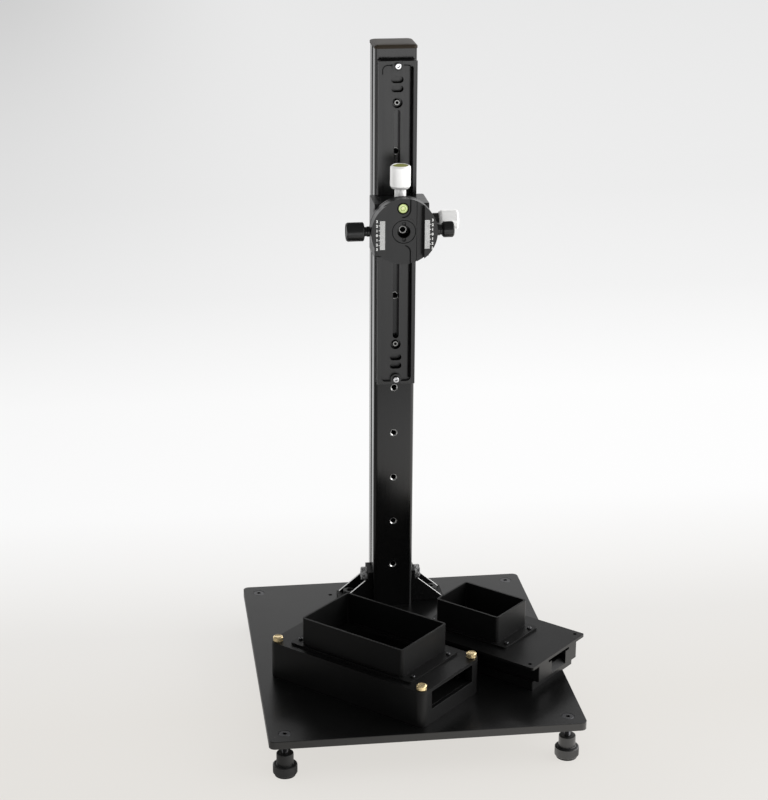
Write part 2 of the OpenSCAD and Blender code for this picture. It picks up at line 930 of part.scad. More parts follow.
// A clamp's screw, from its moving jaw to the inside of its knob
module silver_screw(up, down, gap, l) {
    start = 0.5 - up - down;
    translate([start, 0, 0])
        along_x(clamp_screw_r, gap + l - 10 - start);
}

module at_rail_knob() {
    translate([column_x + rail_clamp_half, rail_axis_y, head_z])
        children();
}

module rail_knob() {
    color("#d6d7d8")
        at_rail_knob()
            silver_knob(rail_knob_gap, rail_knob_gap, rail_knob_l, false);
}

module rail_knob_collar() {
    color("#1a1a1b")
        at_rail_knob()
            difference() {
                turned([[rail_boss_l + pass_gap, 0], [rail_boss_l + pass_gap, 6.5], [rail_boss_l + 1.5, 7.5],
                        [rail_knob_gap - 0.1, 7.5], [rail_knob_gap - 0.1, 0]]);
                along_x(clamp_screw_r + set_fit, rail_knob_gap + eps);
            }
}

module rail_knob_screw() {
    color("#9b9da0")
        at_rail_knob()
            silver_screw(rail_clamp_half, rail_clamp_half, rail_knob_gap, rail_knob_l);
}

// Puts a piece drawn along +X onto the top knob's upright axis
module at_cross_knob() {
    translate([column_x, cross_axis_y, head_z + cross_clamp_up])
        rotate([0, -90, 0])
            children();
}

module cross_knob() {
    color("#d6d7d8")
        at_cross_knob()
            silver_knob(cross_knob_gap, cross_boss_l + pass_gap, cross_knob_l, true);
}

module cross_knob_cap() {
    far = cross_knob_gap + cross_knob_l;
    color("#9a9a5f")
        at_cross_knob()
            turned([[far - 1.4, 0], [far - 1.4, silver_r - 2.4], [far - 0.3, silver_r - 3], [far - 0.3, 0]]);
}

module cross_knob_screw() {
    color("#9b9da0")
        at_cross_knob()
            silver_screw(cross_clamp_up, cross_clamp_down, cross_knob_gap, cross_knob_l);
}

module pan_base() {
    color("#161617")
        difference() {
            union() {
                translate([column_x, base_back, head_z])
                    rotate([90, 0, 0]) {
                        cylinder(r1 = disc_r - 1.2, r2 = disc_r, h = 1.2);
                        translate([0, 0, 1.2])
                            cylinder(r = disc_r, h = base_ring_t - 2.4);
                        translate([0, 0, base_ring_t - 1.2])
                            cylinder(r1 = disc_r, r2 = disc_r - 1.2, h = 1.2);
                        cylinder(r = spindle_r, h = base_back - cap_front - cap_thick);
                    }
                translate([column_x, foot_back, head_z])
                    rotate([0, 90, 0])
                        translate([0, 0, -foot_plate_l / 2])
                            linear_extrude(foot_plate_l)
                                foot_outline();
            }
            translate([column_x, foot_back + eps, head_z])
                to_front(3 + set_fit, foot_back - cap_front + 2 * eps);
            translate([column_x, bolt_seat, head_z])
                to_front(cap_well_r, bolt_seat - cap_front);
            translate([column_x, cap_front + cap_thick + sleeve_l + 0.2, head_z])
                to_front(sleeve_r + set_fit, sleeve_l + 0.2 + eps);
        }
}

// The dovetail foot's outline, its sliding face at y = 0 and its neck towards the front
module foot_outline() {
    root = base_back - foot_back - 0.2;
    polygon([[-dovetail_half, 0], [dovetail_half, 0], [dovetail_half, -dovetail_edge],
             [neck_half, -rail_neck_y], [neck_half, root], [-neck_half, root],
             [-neck_half, -rail_neck_y], [-dovetail_half, -dovetail_edge]]);
}

// The ring nut on the spindle, its sleeve screwed into the spindle's bore
module spindle_cap() {
    color("#242426")
        translate([column_x, cap_front + cap_thick, head_z])
            rotate([90, 0, 0])
                difference() {
                    union() {
                        translate([0, 0, -sleeve_l])
                            cylinder(r = sleeve_r, h = sleeve_l + 1);
                        cylinder(r = spindle_cap_r, h = cap_thick - 0.4);
                        translate([0, 0, cap_thick - 0.4])
                            cylinder(r1 = spindle_cap_r, r2 = spindle_cap_r - 0.4, h = 0.4);
                    }
                    translate([0, 0, -sleeve_l - eps])
                        cylinder(r = cap_well_r, h = sleeve_l + cap_thick + 2 * eps);
                    for (s = [-1, 1])
                        translate([0, s * spanner_at, cap_thick - 1.5])
                            cylinder(r = spanner_r, h = 1.5 + eps);
                }
}

module spindle_bolt() {
    color("#4a4b4e")
        translate([column_x, bolt_seat, head_z])
            rotate([90, 0, 0])
                head_screw(bolt_head_r, bolt_head_h, 3, foot_back - bolt_seat - 1, 5);
}

// Draws a flat shape in the disc's plane, centred on its axis, between two depths
module across_disc(from_y, to_y) {
    translate([column_x, to_y, head_z])
        rotate([90, 0, 0])
            linear_extrude(to_y - from_y)
                children();
}

// The undercut of a camera plate channel seen from above, from its lip at the face to its floor
module undercut(lip, side) {
    wide = channel_t - dovetail_edge;
    polygon([[0, -eps], [side * lip, -eps], [side * lip, 0], [side * (lip + wide), wide],
             [side * (lip + wide), channel_t], [0, channel_t]]);
}

module pan_disc() {
    color("#161617")
        difference() {
            across_disc(disc_face, disc_back)
                circle(disc_r);
            translate([column_x, disc_face, head_z - disc_r - eps])
                linear_extrude(2 * (disc_r + eps))
                    undercut(fixed_lip, -1);
            translate([column_x - eps, disc_face - eps, head_z - disc_r - eps])
                cube([floor_edge + 2 * eps, channel_t + eps, 2 * (disc_r + eps)]);
            translate([column_x + floor_edge, disc_face - eps, head_z - disc_r - eps])
                cube([disc_r, ledge_y - disc_face + eps, 2 * (disc_r + eps)]);
            translate([column_x + ledge_end, disc_face - eps, head_z - disc_r - eps])
                cube([disc_r, disc_t + 2 * eps, 2 * (disc_r + eps)]);
            translate([column_x, bore_step, head_z])
                to_front(spindle_cap_r + pass_gap, bore_step - disc_face);
            translate([column_x, disc_back + eps, head_z])
                to_front(spindle_r + run_fit, disc_t);
            translate([column_x - bubble_side, floor_y + 2.5, head_z + bubble_up])
                to_front(bubble_r + set_fit, channel_t + 3);
            translate([column_x, black_y, head_z])
                along_x(black_screw_r + run_fit, disc_r + eps);
            translate([column_x - disc_r - eps, black_y, head_z])
                along_x(black_screw_r + run_fit, disc_r + eps);
            for (s = [-1, 1])
                translate([column_x + floor_edge + 1, black_y, head_z + s * jaw_guide_z])
                    along_x(jaw_guide_r + set_fit, disc_r);
            across_disc(floor_y - eps, floor_y + 0.7)
                relief();
        }
}

// The shallow step in the channel floor, stopped short of the bubble and the spindle cap
module relief() {
    step_x = 6.2;
    difference() {
        translate([step_x, -disc_r])
            square([floor_edge - step_x + eps, 2 * disc_r]);
        circle(spindle_cap_r + 2.6);
        translate([-bubble_side, bubble_up])
            circle(bubble_r + 2);
    }
}

module disc_guides() {
    color("#b9bbbe")
        for (s = [-1, 1])
            translate([column_x + floor_edge + 2, black_y, head_z + s * jaw_guide_z])
                along_x(jaw_guide_r, jaw_wall + jaw_guide_deep - floor_edge - 2);
}

module bubble_cup() {
    color("#c9cacc")
        translate([column_x - bubble_side, floor_y + 2.5 - set_fit, head_z + bubble_up])
            rotate([90, 0, 0])
                difference() {
                    cylinder(r = bubble_r, h = 2.5);
                    translate([0, 0, 0.8])
                        cylinder(r = bubble_r - 0.9, h = 3);
                }
}

module bubble_vial() {
    color("#b6c23a")
        translate([column_x - bubble_side, floor_y + 1.7 - 2 * set_fit, head_z + bubble_up])
            rotate([90, 0, 0])
                cylinder(r = bubble_r - 0.9 - set_fit, h = 1.6);
}

module disc_jaw() {
    color("#161617")
        difference() {
            intersection() {
                across_disc(disc_face, disc_back)
                    circle(disc_r);
                union() {
                    translate([column_x + jaw_in, disc_face, head_z - disc_r])
                        cube([2 * disc_r, jaw_back - disc_face, 2 * disc_r]);
                    translate([column_x + jaw_wall, disc_face, head_z - disc_r])
                        cube([2 * disc_r, disc_t, 2 * disc_r]);
                }
            }
            translate([column_x, disc_face, head_z - disc_r - eps])
                linear_extrude(2 * (disc_r + eps))
                    undercut(moving_lip, 1);
            translate([column_x + jaw_wall - eps, black_y, head_z])
                along_x(black_screw_r + run_fit, disc_r);
            for (s = [-1, 1])
                translate([column_x + jaw_wall - eps, black_y, head_z + s * jaw_guide_z])
                    along_x(jaw_guide_r + run_fit, jaw_guide_deep + eps + 0.5);
        }
}

// A black knob along +X with a neck, from its seat at x = 0
module black_knob(r, l, neck, neck_r) {
    far = neck + l;
    difference() {
        turned([[0, 0], [0, neck_r - 0.3], [0.4, neck_r], [neck * 0.55, neck_r], [neck * 0.7, neck_r - 0.5],
                [neck - 0.5, neck_r - 0.5], [neck, neck_r + 0.6], [neck + 1.4, r], [far - 1.2, r],
                [far - 0.6, r - 0.6], [far - 0.6, r - 1.6], [far - 1.4, r - 1.8], [far - 1.4, 0]]);
        translate([-eps, 0, 0])
            along_x(black_screw_r + set_fit, far * 0.6);
    }
}

pan_neck = 5.5;
pan_neck_r = 5.1;
jaw_neck = 5.4;
jaw_neck_r = 5.9;
knob_seat = disc_r + pass_gap;
lock_reach = knob_seat - spindle_r - pass_gap;

module at_pan_knob() {
    translate([column_x - knob_seat, black_y, head_z])
        rotate([0, 180, 0])
            children();
}

module at_jaw_knob() {
    translate([column_x + knob_seat, black_y, head_z])
        children();
}

module pan_knob() {
    color("#1a1a1b")
        at_pan_knob()
            black_knob(pan_knob_r, pan_knob_l, pan_neck, pan_neck_r);
}

module pan_knob_screw() {
    color("#9b9da0")
        at_pan_knob()
            translate([lock_pad_l - lock_reach, 0, 0])
                along_x(black_screw_r, lock_reach - lock_pad_l + (pan_neck + pan_knob_l) * 0.5);
}

module pan_lock_pad() {
    color("#e6e2d8")
        at_pan_knob()
            translate([-lock_reach, 0, 0])
                along_x(black_screw_r, lock_pad_l);
}

module jaw_knob() {
    color("#1a1a1b")
        at_jaw_knob()
            black_knob(jaw_knob_r, jaw_knob_l, jaw_neck, jaw_neck_r);
}

module jaw_knob_screw() {
    reach = knob_seat - spindle_r - 2;
    color("#9b9da0")
        at_jaw_knob()
            translate([-reach, 0, 0])
                along_x(black_screw_r, reach + (jaw_neck + jaw_knob_l) * 0.5);
}

// Places a piece drawn in a carrier's own axes, its length along +X and its bottom at z = 0
module on_large() {
    translate([large_x, large_y, 0])
        rotate(large_turn)
            children();
}

module on_small() {
    translate([small_x, small_y, 0])
        rotate(small_turn)
            children();
}

large_post_x = large_l / 2 - post_in;
large_post_y = large_w / 2 - post_in;

module at_posts() {
    for (s = [-1, 1], t = [-1, 1])
        translate([s * large_post_x, t * large_post_y, 0])
            children();
}

module large_body() {
    in_l = large_l - 2 * large_wall;
    in_w = large_w - 2 * large_wall;
    color("#161617")
        on_large()
            difference() {
                union() {
                    frame_block(large_l, large_w, large_body_h, large_r, in_l, in_w, large_r - large_wall);
                    frame_block(in_l + 1, in_w + 1, large_floor_t, large_r - large_wall,
                                large_gate_l, large_gate_w, 3);
                    at_posts()
                        cylinder(r = post_r, h = large_body_h);
                }
                for (s = [-1, 1])
                    translate([s * large_l / 2 - large_wall - eps, -window_w / 2, window_low])
                        cube([2 * large_wall + 2 * eps, window_w, window_high - window_low]);
                at_posts()
                    translate([0, 0, large_body_h - 12])
                        cylinder(r = stud_r + set_fit, h = 12 + eps);
            }
}

module large_lid() {
    color("#19191a")
        on_large()
            translate([0, 0, large_body_h])
                difference() {
                    frame_block(large_l, large_w, large_lid_t, large_r, large_gate_l, large_gate_w, 3);
                    at_posts()
                        translate([0, 0, -eps])
                            cylinder(r = stud_r + pass_gap, h = large_lid_t + 2 * eps);
                    at_flange_screws(large_hood_l, large_hood_w)
                        translate([0, 0, -eps])
                            cylinder(r = 1.2 + set_fit, h = large_lid_t + 2 * eps);
                }
}

// The film gate: a frame across the body with a guide rail on each side
module large_gate() {
    gate_l = large_l - 2 * large_wall - 2;
    gate_w = large_w - 2 * large_wall - 0.4;
    rail_h = large_body_h - gate_low - gate_t;
    color("#141415")
        on_large()
            translate([0, 0, gate_low]) {
                difference() {
                    frame_block(gate_l, gate_w, gate_t, 1, large_gate_l, large_gate_w, 3);
                    at_posts()
                        translate([0, 0, -eps])
                            cylinder(r = post_r + pass_gap, h = gate_t + 2 * eps);
                }
                for (s = [-1, 1])
                    translate([-large_l / 2 + 16, s * 35 - 2, gate_t])
                        cube([large_l - 32, 4, rail_h - 0.1]);
            }
}

module at_flange_screws(hood_l, hood_w) {
    for (s = [-1, 1], t = [-1, 1])
        translate([s * (hood_l / 2 + flange_end * 0.62), t * hood_w * 0.4, 0])
            children();
}

module hood(l, w, h) {
    difference() {
        union() {
            block(l + 2 * flange_end, w + 2 * flange_side, flange_t, 3);
            block(l, w, h + flange_t, hood_r);
        }
        translate([0, 0, -eps])
            block(l - 2 * hood_wall, w - 2 * hood_wall, h + flange_t + 2 * eps, hood_r - hood_wall + 0.5);
        at_flange_screws(l, w)
            translate([0, 0, -eps])
                cylinder(r = 1.2 + pass_gap, h = flange_t + 2 * eps);
    }
}

module hood_screws(l, w) {
    at_flange_screws(l, w)
        translate([0, 0, flange_t])
            head_screw(flange_screw_r, 1.6, 1.2, flange_t + 2.5, 1.5);
}

module large_hood() {
    color("#1b1b1c")
        on_large()
            translate([0, 0, large_h])
                hood(large_hood_l, large_hood_w, large_hood_h);
}

module large_hood_screws() {
    color("#77797c")
        on_large()
            translate([0, 0, large_h])
                hood_screws(large_hood_l, large_hood_w);
}

module large_studs() {
    color("#9b9da0")
        on_large()
            at_posts()
                translate([0, 0, large_body_h - 11])
                    cylinder(r = stud_r, h = 11 + large_lid_t + nut_h - 0.6);
}

module thumb_nut(s, t) {
    color("#c9a24a")
        on_large()
            translate([s * large_post_x, t * large_post_y, large_h + 0.05])
                rotate_extrude()
                    polygon([[stud_r + run_fit, 0], [nut_r - 0.5, 0], [nut_r, 0.5], [nut_r, nut_h - 0.7],
                             [nut_r - 0.7, nut_h], [stud_r + 0.5, nut_h], [stud_r + run_fit, nut_h - 0.5]]);
}

module small_base() {
    color("#161617")
        on_small()
            difference() {
                translate([0, -small_base_shift, 0])
                    block(small_l - 2 * small_base_inset, small_base_w, small_base_h, 1);
                translate([0, 0, -eps])
                    block(60, 44, small_base_h + 2 * eps, 2);
            }
}

module small_block() {
    color("#19191a")
        on_small()
            difference() {
                translate([0, -small_block_shift, small_base_h])
                    block(small_l, small_block_w, small_block_h, 1);
                translate([-small_end - eps, -film_w / 2, small_top_z - film_t])
                    cube([small_l + 2 * eps, film_w, film_t + eps]);
                for (s = [0, 1])
                    mirror([s, 0, 0])
                        end_notch();
                translate([small_hood_at, 0, small_base_h - eps])
                    block(well_l, well_w, small_block_h + 2 * eps, 2);
            }
}

// The notch where the film enters, with its sloping lip
module end_notch() {
    translate([small_end + eps, notch_w / 2, 0])
        rotate([90, 0, 0])
            linear_extrude(notch_w)
                polygon([[0, small_base_h + 1], [-eps, small_base_h + 1], [-6 - eps, notch_low],
                         [-notch_deep, notch_low], [-notch_deep, small_top_z + eps], [0, small_top_z + eps]]);
}

module small_top() {
    hole_x = small_l / 2 - corner_hole_in;
    hole_y = small_w / 2 - corner_hole_in + 1;
    color("#1d1d1e")
        on_small()
            translate([0, 0, small_top_z])
                difference() {
                    block(small_l, small_w, small_top_t, 2);
                    translate([small_hood_at, 0, -eps])
                        block(well_l, well_w, small_top_t + 2 * eps, 2);
                    for (s = [-1, 1], t = [-1, 1])
                        translate([s * hole_x, t * hole_y, -eps])
                            cylinder(r = corner_hole_r, h = small_top_t + 2 * eps);
                    translate([small_hood_at, 0, -eps])
                        at_flange_screws(small_hood_l, small_hood_w)
                            cylinder(r = 1.2 + set_fit, h = small_top_t + 2 * eps);
                }
}

module on_small_hood() {
    on_small()
        translate([small_hood_at, 0, small_h])
            children();
}

module small_hood() {
    color("#1b1b1c")
        on_small_hood()
            hood(small_hood_l, small_hood_w, small_hood_h);
}

module small_hood_screws() {
    color("#77797c")
        on_small_hood()
            hood_screws(small_hood_l, small_hood_w);
}

base_plate();
foot_studs();
column();
column_cap();
column_bolts();
bracket_left();
bracket_right();
bracket_bolts();
slot_nuts();
rail_plate();
rail_screws();
stop_screws();
foot(foot_sides[0]);  // foot_front_left
foot(foot_sides[1]);  // foot_front_right
foot(foot_sides[2]);  // foot_rear_left
foot(foot_sides[3]);  // foot_rear_right
foot_pad(foot_sides[0]);  // pad_front_left
foot_pad(foot_sides[1]);  // pad_front_right
foot_pad(foot_sides[2]);  // pad_rear_left
foot_pad(foot_sides[3]);  // pad_rear_right
rail_clamp();
cross_clamp();
clamp_screws();
jaw_guides();
rail_jaw();
rail_knob();
rail_knob_collar();
rail_knob_screw();
cross_jaw();
cross_knob();
cross_knob_cap();
cross_knob_screw();
pan_base();
spindle_cap();
spindle_bolt();
pan_disc();
disc_guides();
bubble_cup();
bubble_vial();
disc_jaw();
jaw_knob();
jaw_knob_screw();
pan_knob();
pan_knob_screw();
pan_lock_pad();
large_body();
large_lid();
large_gate();
large_hood();
large_hood_screws();
large_studs();
thumb_nut(-1, -1);  // large_nut_front_left
thumb_nut(1, -1);  // large_nut_front_right
thumb_nut(-1, 1);  // large_nut_rear_left
thumb_nut(1, 1);  // large_nut_rear_right
small_base();
small_block();
small_top();
small_hood();
small_hood_screws();
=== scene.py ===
"""Looks of a camera copy stand: finishes, fine detail, floor and soft light.

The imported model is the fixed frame, in metres, +Z up. Its origin is the middle of the
base plate's top face, and -Y is the front. Sizes here are in metres too.
"""
import json
import math

import bmesh
import bpy
from mathutils import Matrix, Vector

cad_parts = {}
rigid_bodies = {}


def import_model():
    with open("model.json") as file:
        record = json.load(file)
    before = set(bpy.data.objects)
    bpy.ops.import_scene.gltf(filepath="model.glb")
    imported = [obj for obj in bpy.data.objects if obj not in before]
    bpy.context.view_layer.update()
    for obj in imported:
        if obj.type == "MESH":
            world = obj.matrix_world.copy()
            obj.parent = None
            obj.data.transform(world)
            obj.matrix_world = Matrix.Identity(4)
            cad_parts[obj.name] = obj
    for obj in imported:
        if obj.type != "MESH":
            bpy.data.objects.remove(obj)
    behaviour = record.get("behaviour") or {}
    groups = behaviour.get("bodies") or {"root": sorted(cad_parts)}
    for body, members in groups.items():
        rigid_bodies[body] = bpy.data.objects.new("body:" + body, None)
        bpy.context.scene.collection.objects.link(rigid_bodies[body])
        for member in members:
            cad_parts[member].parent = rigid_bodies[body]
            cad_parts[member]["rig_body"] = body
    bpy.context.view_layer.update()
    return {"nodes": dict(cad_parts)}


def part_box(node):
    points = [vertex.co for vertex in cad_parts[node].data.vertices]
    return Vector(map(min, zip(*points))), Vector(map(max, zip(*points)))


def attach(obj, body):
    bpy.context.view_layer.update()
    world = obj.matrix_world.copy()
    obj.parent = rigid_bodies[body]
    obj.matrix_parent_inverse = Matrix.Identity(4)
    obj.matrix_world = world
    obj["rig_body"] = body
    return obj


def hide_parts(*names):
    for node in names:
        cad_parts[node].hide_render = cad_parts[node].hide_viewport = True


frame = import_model()
nodes = frame["nodes"]

MM = 0.001
FULL_TURN = 2 * math.pi


# Shader maths


class Value:
    """A number that changes over a surface. An expression on values adds its Math nodes."""

    def __init__(self, graph, socket):
        self.graph = graph
        self.socket = socket

    def __add__(self, other):
        return self.graph.maths("ADD", self, other)

    def __sub__(self, other):
        return self.graph.maths("SUBTRACT", self, other)

    def __rsub__(self, other):
        return self.graph.maths("SUBTRACT", other, self)

    def __mul__(self, other):
        return self.graph.maths("MULTIPLY", self, other)

    def __gt__(self, other):
        return self.graph.maths("GREATER_THAN", self, other)

    __radd__ = __add__
    __rmul__ = __mul__


class Graph:
    """A node tree of a finish or of the studio's light."""

    def __init__(self, tree):
        self.tree = tree

    def node(self, kind, settings, sockets, output=0):
        """Adds a node: its settings first, then the values or links of its sockets."""
        made = self.tree.nodes.new("ShaderNode" + kind)
        for label, value in settings.items():
            if label == "stops":
                set_stops(made.color_ramp, value)
            else:
                setattr(made, label, value)
        for label, value in sockets.items():
            self.join(value, made.inputs[label])
        return Value(self, made.outputs[output])

    def join(self, value, socket):
        if isinstance(value, Value):
            self.tree.links.new(value.socket, socket)
        else:
            socket.default_value = value

    def maths(self, operation, *values):
        return self.node("Math", {"operation": operation}, dict(enumerate(values)))

    def split(self, where, direction):
        return self.node("SeparateXYZ", {}, {"Vector": where}, direction)

    def fade(self, value, low, high, first=0.0, last=1.0):
        """Goes smoothly from first, where the value is low, to last, where it is high."""
        sockets = {0: value, 1: low, 2: high, 3: first, 4: last}
        return self.node("MapRange", {"interpolation_type": "SMOOTHSTEP"}, sockets)

    def blend(self, share, first, second):
        """A colour between two others."""
        return self.node("Mix", {"data_type": "RGBA"}, {0: share, 6: first, 7: second}, 2)

    def rays(self, *kinds):
        """1 for rays of the given kinds, and 0 for the others."""
        seen = 0.0
        for kind in kinds:
            seen = self.maths("MAXIMUM", seen, self.node("LightPath", {}, {}, "Is %s Ray" % kind))
        return seen


class Finish(Graph):
    """A surface finish whose pattern reads the piece's Object coordinates."""

    def __init__(self, name, **constants):
        self.material = bpy.data.materials.new(name)
        self.material.use_nodes = True
        super().__init__(self.material.node_tree)
        self.shader = self.tree.nodes["Principled BSDF"]
        for label, value in constants.items():
            self.shader.inputs[label.replace("_", " ")].default_value = value

    def place(self, *stretch):
        """Object coordinates, each direction stretched by its own factor."""
        where = self.node("TexCoord", {}, {}, "Object")
        if stretch:
            where = self.node("VectorMath", {"operation": "MULTIPLY"}, {0: where, 1: stretch})
        return where

    def noise(self, scale, detail=2.0, place=None):
        """Soft noise about 0 to 1. A scale of 1000 has a grain of about a millimetre."""
        where = place or self.place()
        return self.node("TexNoise", {}, {"Vector": where, "Scale": scale, "Detail": detail})

    def specks(self, spacing, size):
        """Sparse round specks: 1 within size of a scattered point, else 0."""
        near = self.node("TexVoronoi", {}, {"Vector": self.place(), "Scale": 1 / spacing}, "Distance")
        rare = self.noise(0.37 / spacing, 0.0) > 0.62
        return self.fade(near, 0.6 * size / spacing, size / spacing, 1.0, 0.0) * rare

    def bump(self, height, depth):
        """Raises the surface by depth metres where height is 1."""
        normal = self.node("Bump", {}, {"Height": height, "Distance": depth})
        self.join(normal, self.shader.inputs["Normal"])

    def colour(self, value):
        self.join(value, self.shader.inputs["Base Color"])

    def roughness(self, value):
        self.join(value, self.shader.inputs["Roughness"])


def set_stops(ramp, stops):
    while len(ramp.elements) < len(stops):
        ramp.elements.new(0.5)
    for element, (position, tone) in zip(ramp.elements, stops):
        element.position = position
        element.color = tone


def grey(level, warmth=0.0):
    """A linear colour of an even level, or a slightly warm one."""
    return (level * (1 + warmth), level, level * (1 - 1.6 * warmth), 1)


def darker(tone, share):
    return tuple(part * share for part in tone[:3]) + (1,)


# Finishes of the object


def black_anodised(name, level, gloss, grain, streaks=None, dust=0.0, sheen=0.5, depth=0.012, rim=None):
    """Black anodising: a fine grain, and faint streaks along an extrusion or a milled face.

    rim is the level of the sides below a plate's top face, at height 0: a painted sheen, lighter than the
    top.
    """
    finish = Finish(name, Specular_IOR_Level=sheen)
    fine = finish.noise(grain)
    cloud = finish.noise(30)
    tone = finish.blend(cloud, grey(level * 0.75), grey(level * 1.3))
    rough = gloss + (cloud - 0.5) * 0.08 + (fine - 0.5) * 0.10
    height = fine
    if streaks:
        lines = finish.noise(1.0, 3.0, finish.place(*streaks))
        rough = rough + (lines - 0.5) * 0.16
        height = fine * 0.6 + lines * 0.8
    # Painted sheen: the sides below the top face are coloured lighter than the top.
    if rim:
        below = finish.fade(finish.split(finish.place(), "Z"), -0.9 * MM, -0.4 * MM, 1.0, 0.0)
        tone = finish.blend(below, tone, grey(rim, 0.03))
    if dust:
        speck = finish.specks(9 * MM, 0.55 * MM) * dust
        tone = finish.blend(speck, tone, grey(0.35))
        rough = rough + speck * 0.4
    finish.colour(tone)
    finish.roughness(rough)
    finish.bump(height, depth * MM)
    return finish.material


def metal(name, tone, gloss, metallic=1.0):
    """Bare or oxidised metal with a fine grain. Satin metal is partly matt."""
    finish = Finish(name, Metallic=metallic)
    fine = finish.noise(2500)
    cloud = finish.noise(90)
    finish.colour(finish.blend(cloud, darker(tone, 0.88), tone))
    finish.roughness(gloss + (fine - 0.5) * 0.12)
    finish.bump(fine, 0.004 * MM)
    return finish.material


def plastic(name, tone, gloss, **constants):
    """Moulded plastic, rubber or print: an even colour with a fine grain."""
    finish = Finish(name, **constants)
    fine = finish.noise(1200)
    cloud = finish.noise(60)
    finish.colour(finish.blend(cloud, darker(tone, 0.85), tone))
    finish.roughness(gloss + (fine - 0.5) * 0.12)
    finish.bump(fine, 0.02 * MM)
    return finish.material


def cast_finish(name):
    """Black powder coat over a rough casting, worn lighter on its high spots."""
    finish = Finish(name, Specular_IOR_Level=0.18)
    lumps = finish.noise(420, 4.0)
    fine = finish.noise(1500)
    worn = finish.fade(lumps, 0.55, 0.75)
    finish.colour(finish.blend(worn, grey(0.003), grey(0.012)))
    finish.roughness(0.5 + (fine - 0.5) * 0.2)
    finish.bump(lumps * 0.75 + fine * 0.25, 0.22 * MM)
    return finish.material


def bubble_finish(name, centre, radius):
    """Yellow-green fluid, with a painted highlight, palest in the middle, and painted shade, darkest at its
    rim.
    """
    finish = Finish(name, Coat_Weight=0.6, Coat_Roughness=0.05)
    away = finish.node("VectorMath", {"operation": "DISTANCE"}, {0: finish.place(), 1: centre}, "Value")
    share = away * (1 / radius)
    cloud = finish.noise(900)
    # Painted highlight in the middle, a paler painted ring, and painted shade towards the rim.
    tone = finish.node("ValToRGB", {"stops": [
        (0.0, (0.66, 0.76, 0.30, 1)), (0.45, (0.58, 0.70, 0.20, 1)),
        (0.62, (0.68, 0.80, 0.38, 1)), (0.84, (0.52, 0.62, 0.16, 1)), (1.0, (0.12, 0.15, 0.03, 1)),
    ]}, {"Fac": share + (cloud - 0.5) * 0.05})
    finish.colour(tone)
    finish.roughness(0.15 + cloud * 0.05)
    return finish.material


BUBBLE_LOW, BUBBLE_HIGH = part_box("bubble_cup")
BUBBLE_PLACE = (BUBBLE_LOW + BUBBLE_HIGH) / 2
BUBBLE_R = (BUBBLE_HIGH.x - BUBBLE_LOW.x) / 2

FINISHES = {
    # The plate's sides get a painted sheen, lighter than its top.
    "plate_black": black_anodised("plate_black", 0.0035, 0.30, 1500, dust=0.5, sheen=0.40, rim=0.028),
    "column_black": black_anodised("column_black", 0.0035, 0.16, 1800, (2600, 2600, 9), depth=0.002),
    "rail_black": black_anodised("rail_black", 0.005, 0.32, 1800, (1500, 1500, 20), sheen=0.6),
    "clamp_black": black_anodised("clamp_black", 0.006, 0.36, 1800, sheen=0.48),
    "bracket_cast": cast_finish("bracket_cast"),
    "knob_black": black_anodised("knob_black", 0.006, 0.34, 2000),
    "knob_silver": metal("knob_silver", (0.99, 0.985, 0.97, 1), 0.32, metallic=0.25),
    "knob_label": plastic("knob_label", (0.30, 0.31, 0.09, 1), 0.35),
    "steel_dark": metal("steel_dark", (0.10, 0.10, 0.105, 1), 0.30),
    "steel_bright": metal("steel_bright", (0.66, 0.66, 0.67, 1), 0.22),
    "cap_plastic": plastic("cap_plastic", (0.030, 0.022, 0.014, 1), 0.46, Specular_IOR_Level=0.16),
    "pad_rubber": plastic("pad_rubber", (0.015, 0.015, 0.015, 1), 0.7),
    "pad_nylon": plastic("pad_nylon", (0.8, 0.79, 0.74, 1), 0.5),
    "bubble_rim": metal("bubble_rim", (0.10, 0.11, 0.06, 1), 0.3),
    "bubble_fluid": bubble_finish("bubble_fluid", BUBBLE_PLACE, BUBBLE_R),
    "carrier_black": black_anodised("carrier_black", 0.003, 0.42, 1500, sheen=0.26),
    "hood_black": black_anodised("hood_black", 0.003, 0.46, 1100, sheen=0.22, depth=0.02),
    "nut_brass": metal("nut_brass", (0.95, 0.75, 0.42, 1), 0.26, metallic=0.78),
}
# Pale print for the scales' marks, also used as a painted highlight ring round the spindle bolt's socket.
PRINT_AND_HIGHLIGHT = plastic("mark_print_and_highlight", (0.92, 0.92, 0.90, 1), 0.5)
# Matt black for the spindle bolt and the rail screws, and for the painted shade strips and rings.
MATT = plastic("matt_black", (0.004, 0.004, 0.004, 1), 0.85, Specular_IOR_Level=0.1)
BRIGHT_METAL = metal("bright_metal", (0.70, 0.70, 0.69, 1), 0.30)
# The feet's black is a lighter copy of the knobs' black anodising: painted light that stands in for their
# highlights.
FOOT_BLACK = black_anodised("foot_black", 0.010, 0.40, 2000, sheen=0.7)
# Dull grey metal for the painted highlight rings round the rail screws' sockets.
DULL_RIM = metal("dull_rim", (0.30, 0.30, 0.29, 1), 0.30)
# Pale colour of the painted highlights on the brackets' sloped edges.
EDGE_HIGHLIGHT = plastic("worn_edge", (0.62, 0.62, 0.61, 1), 0.35)


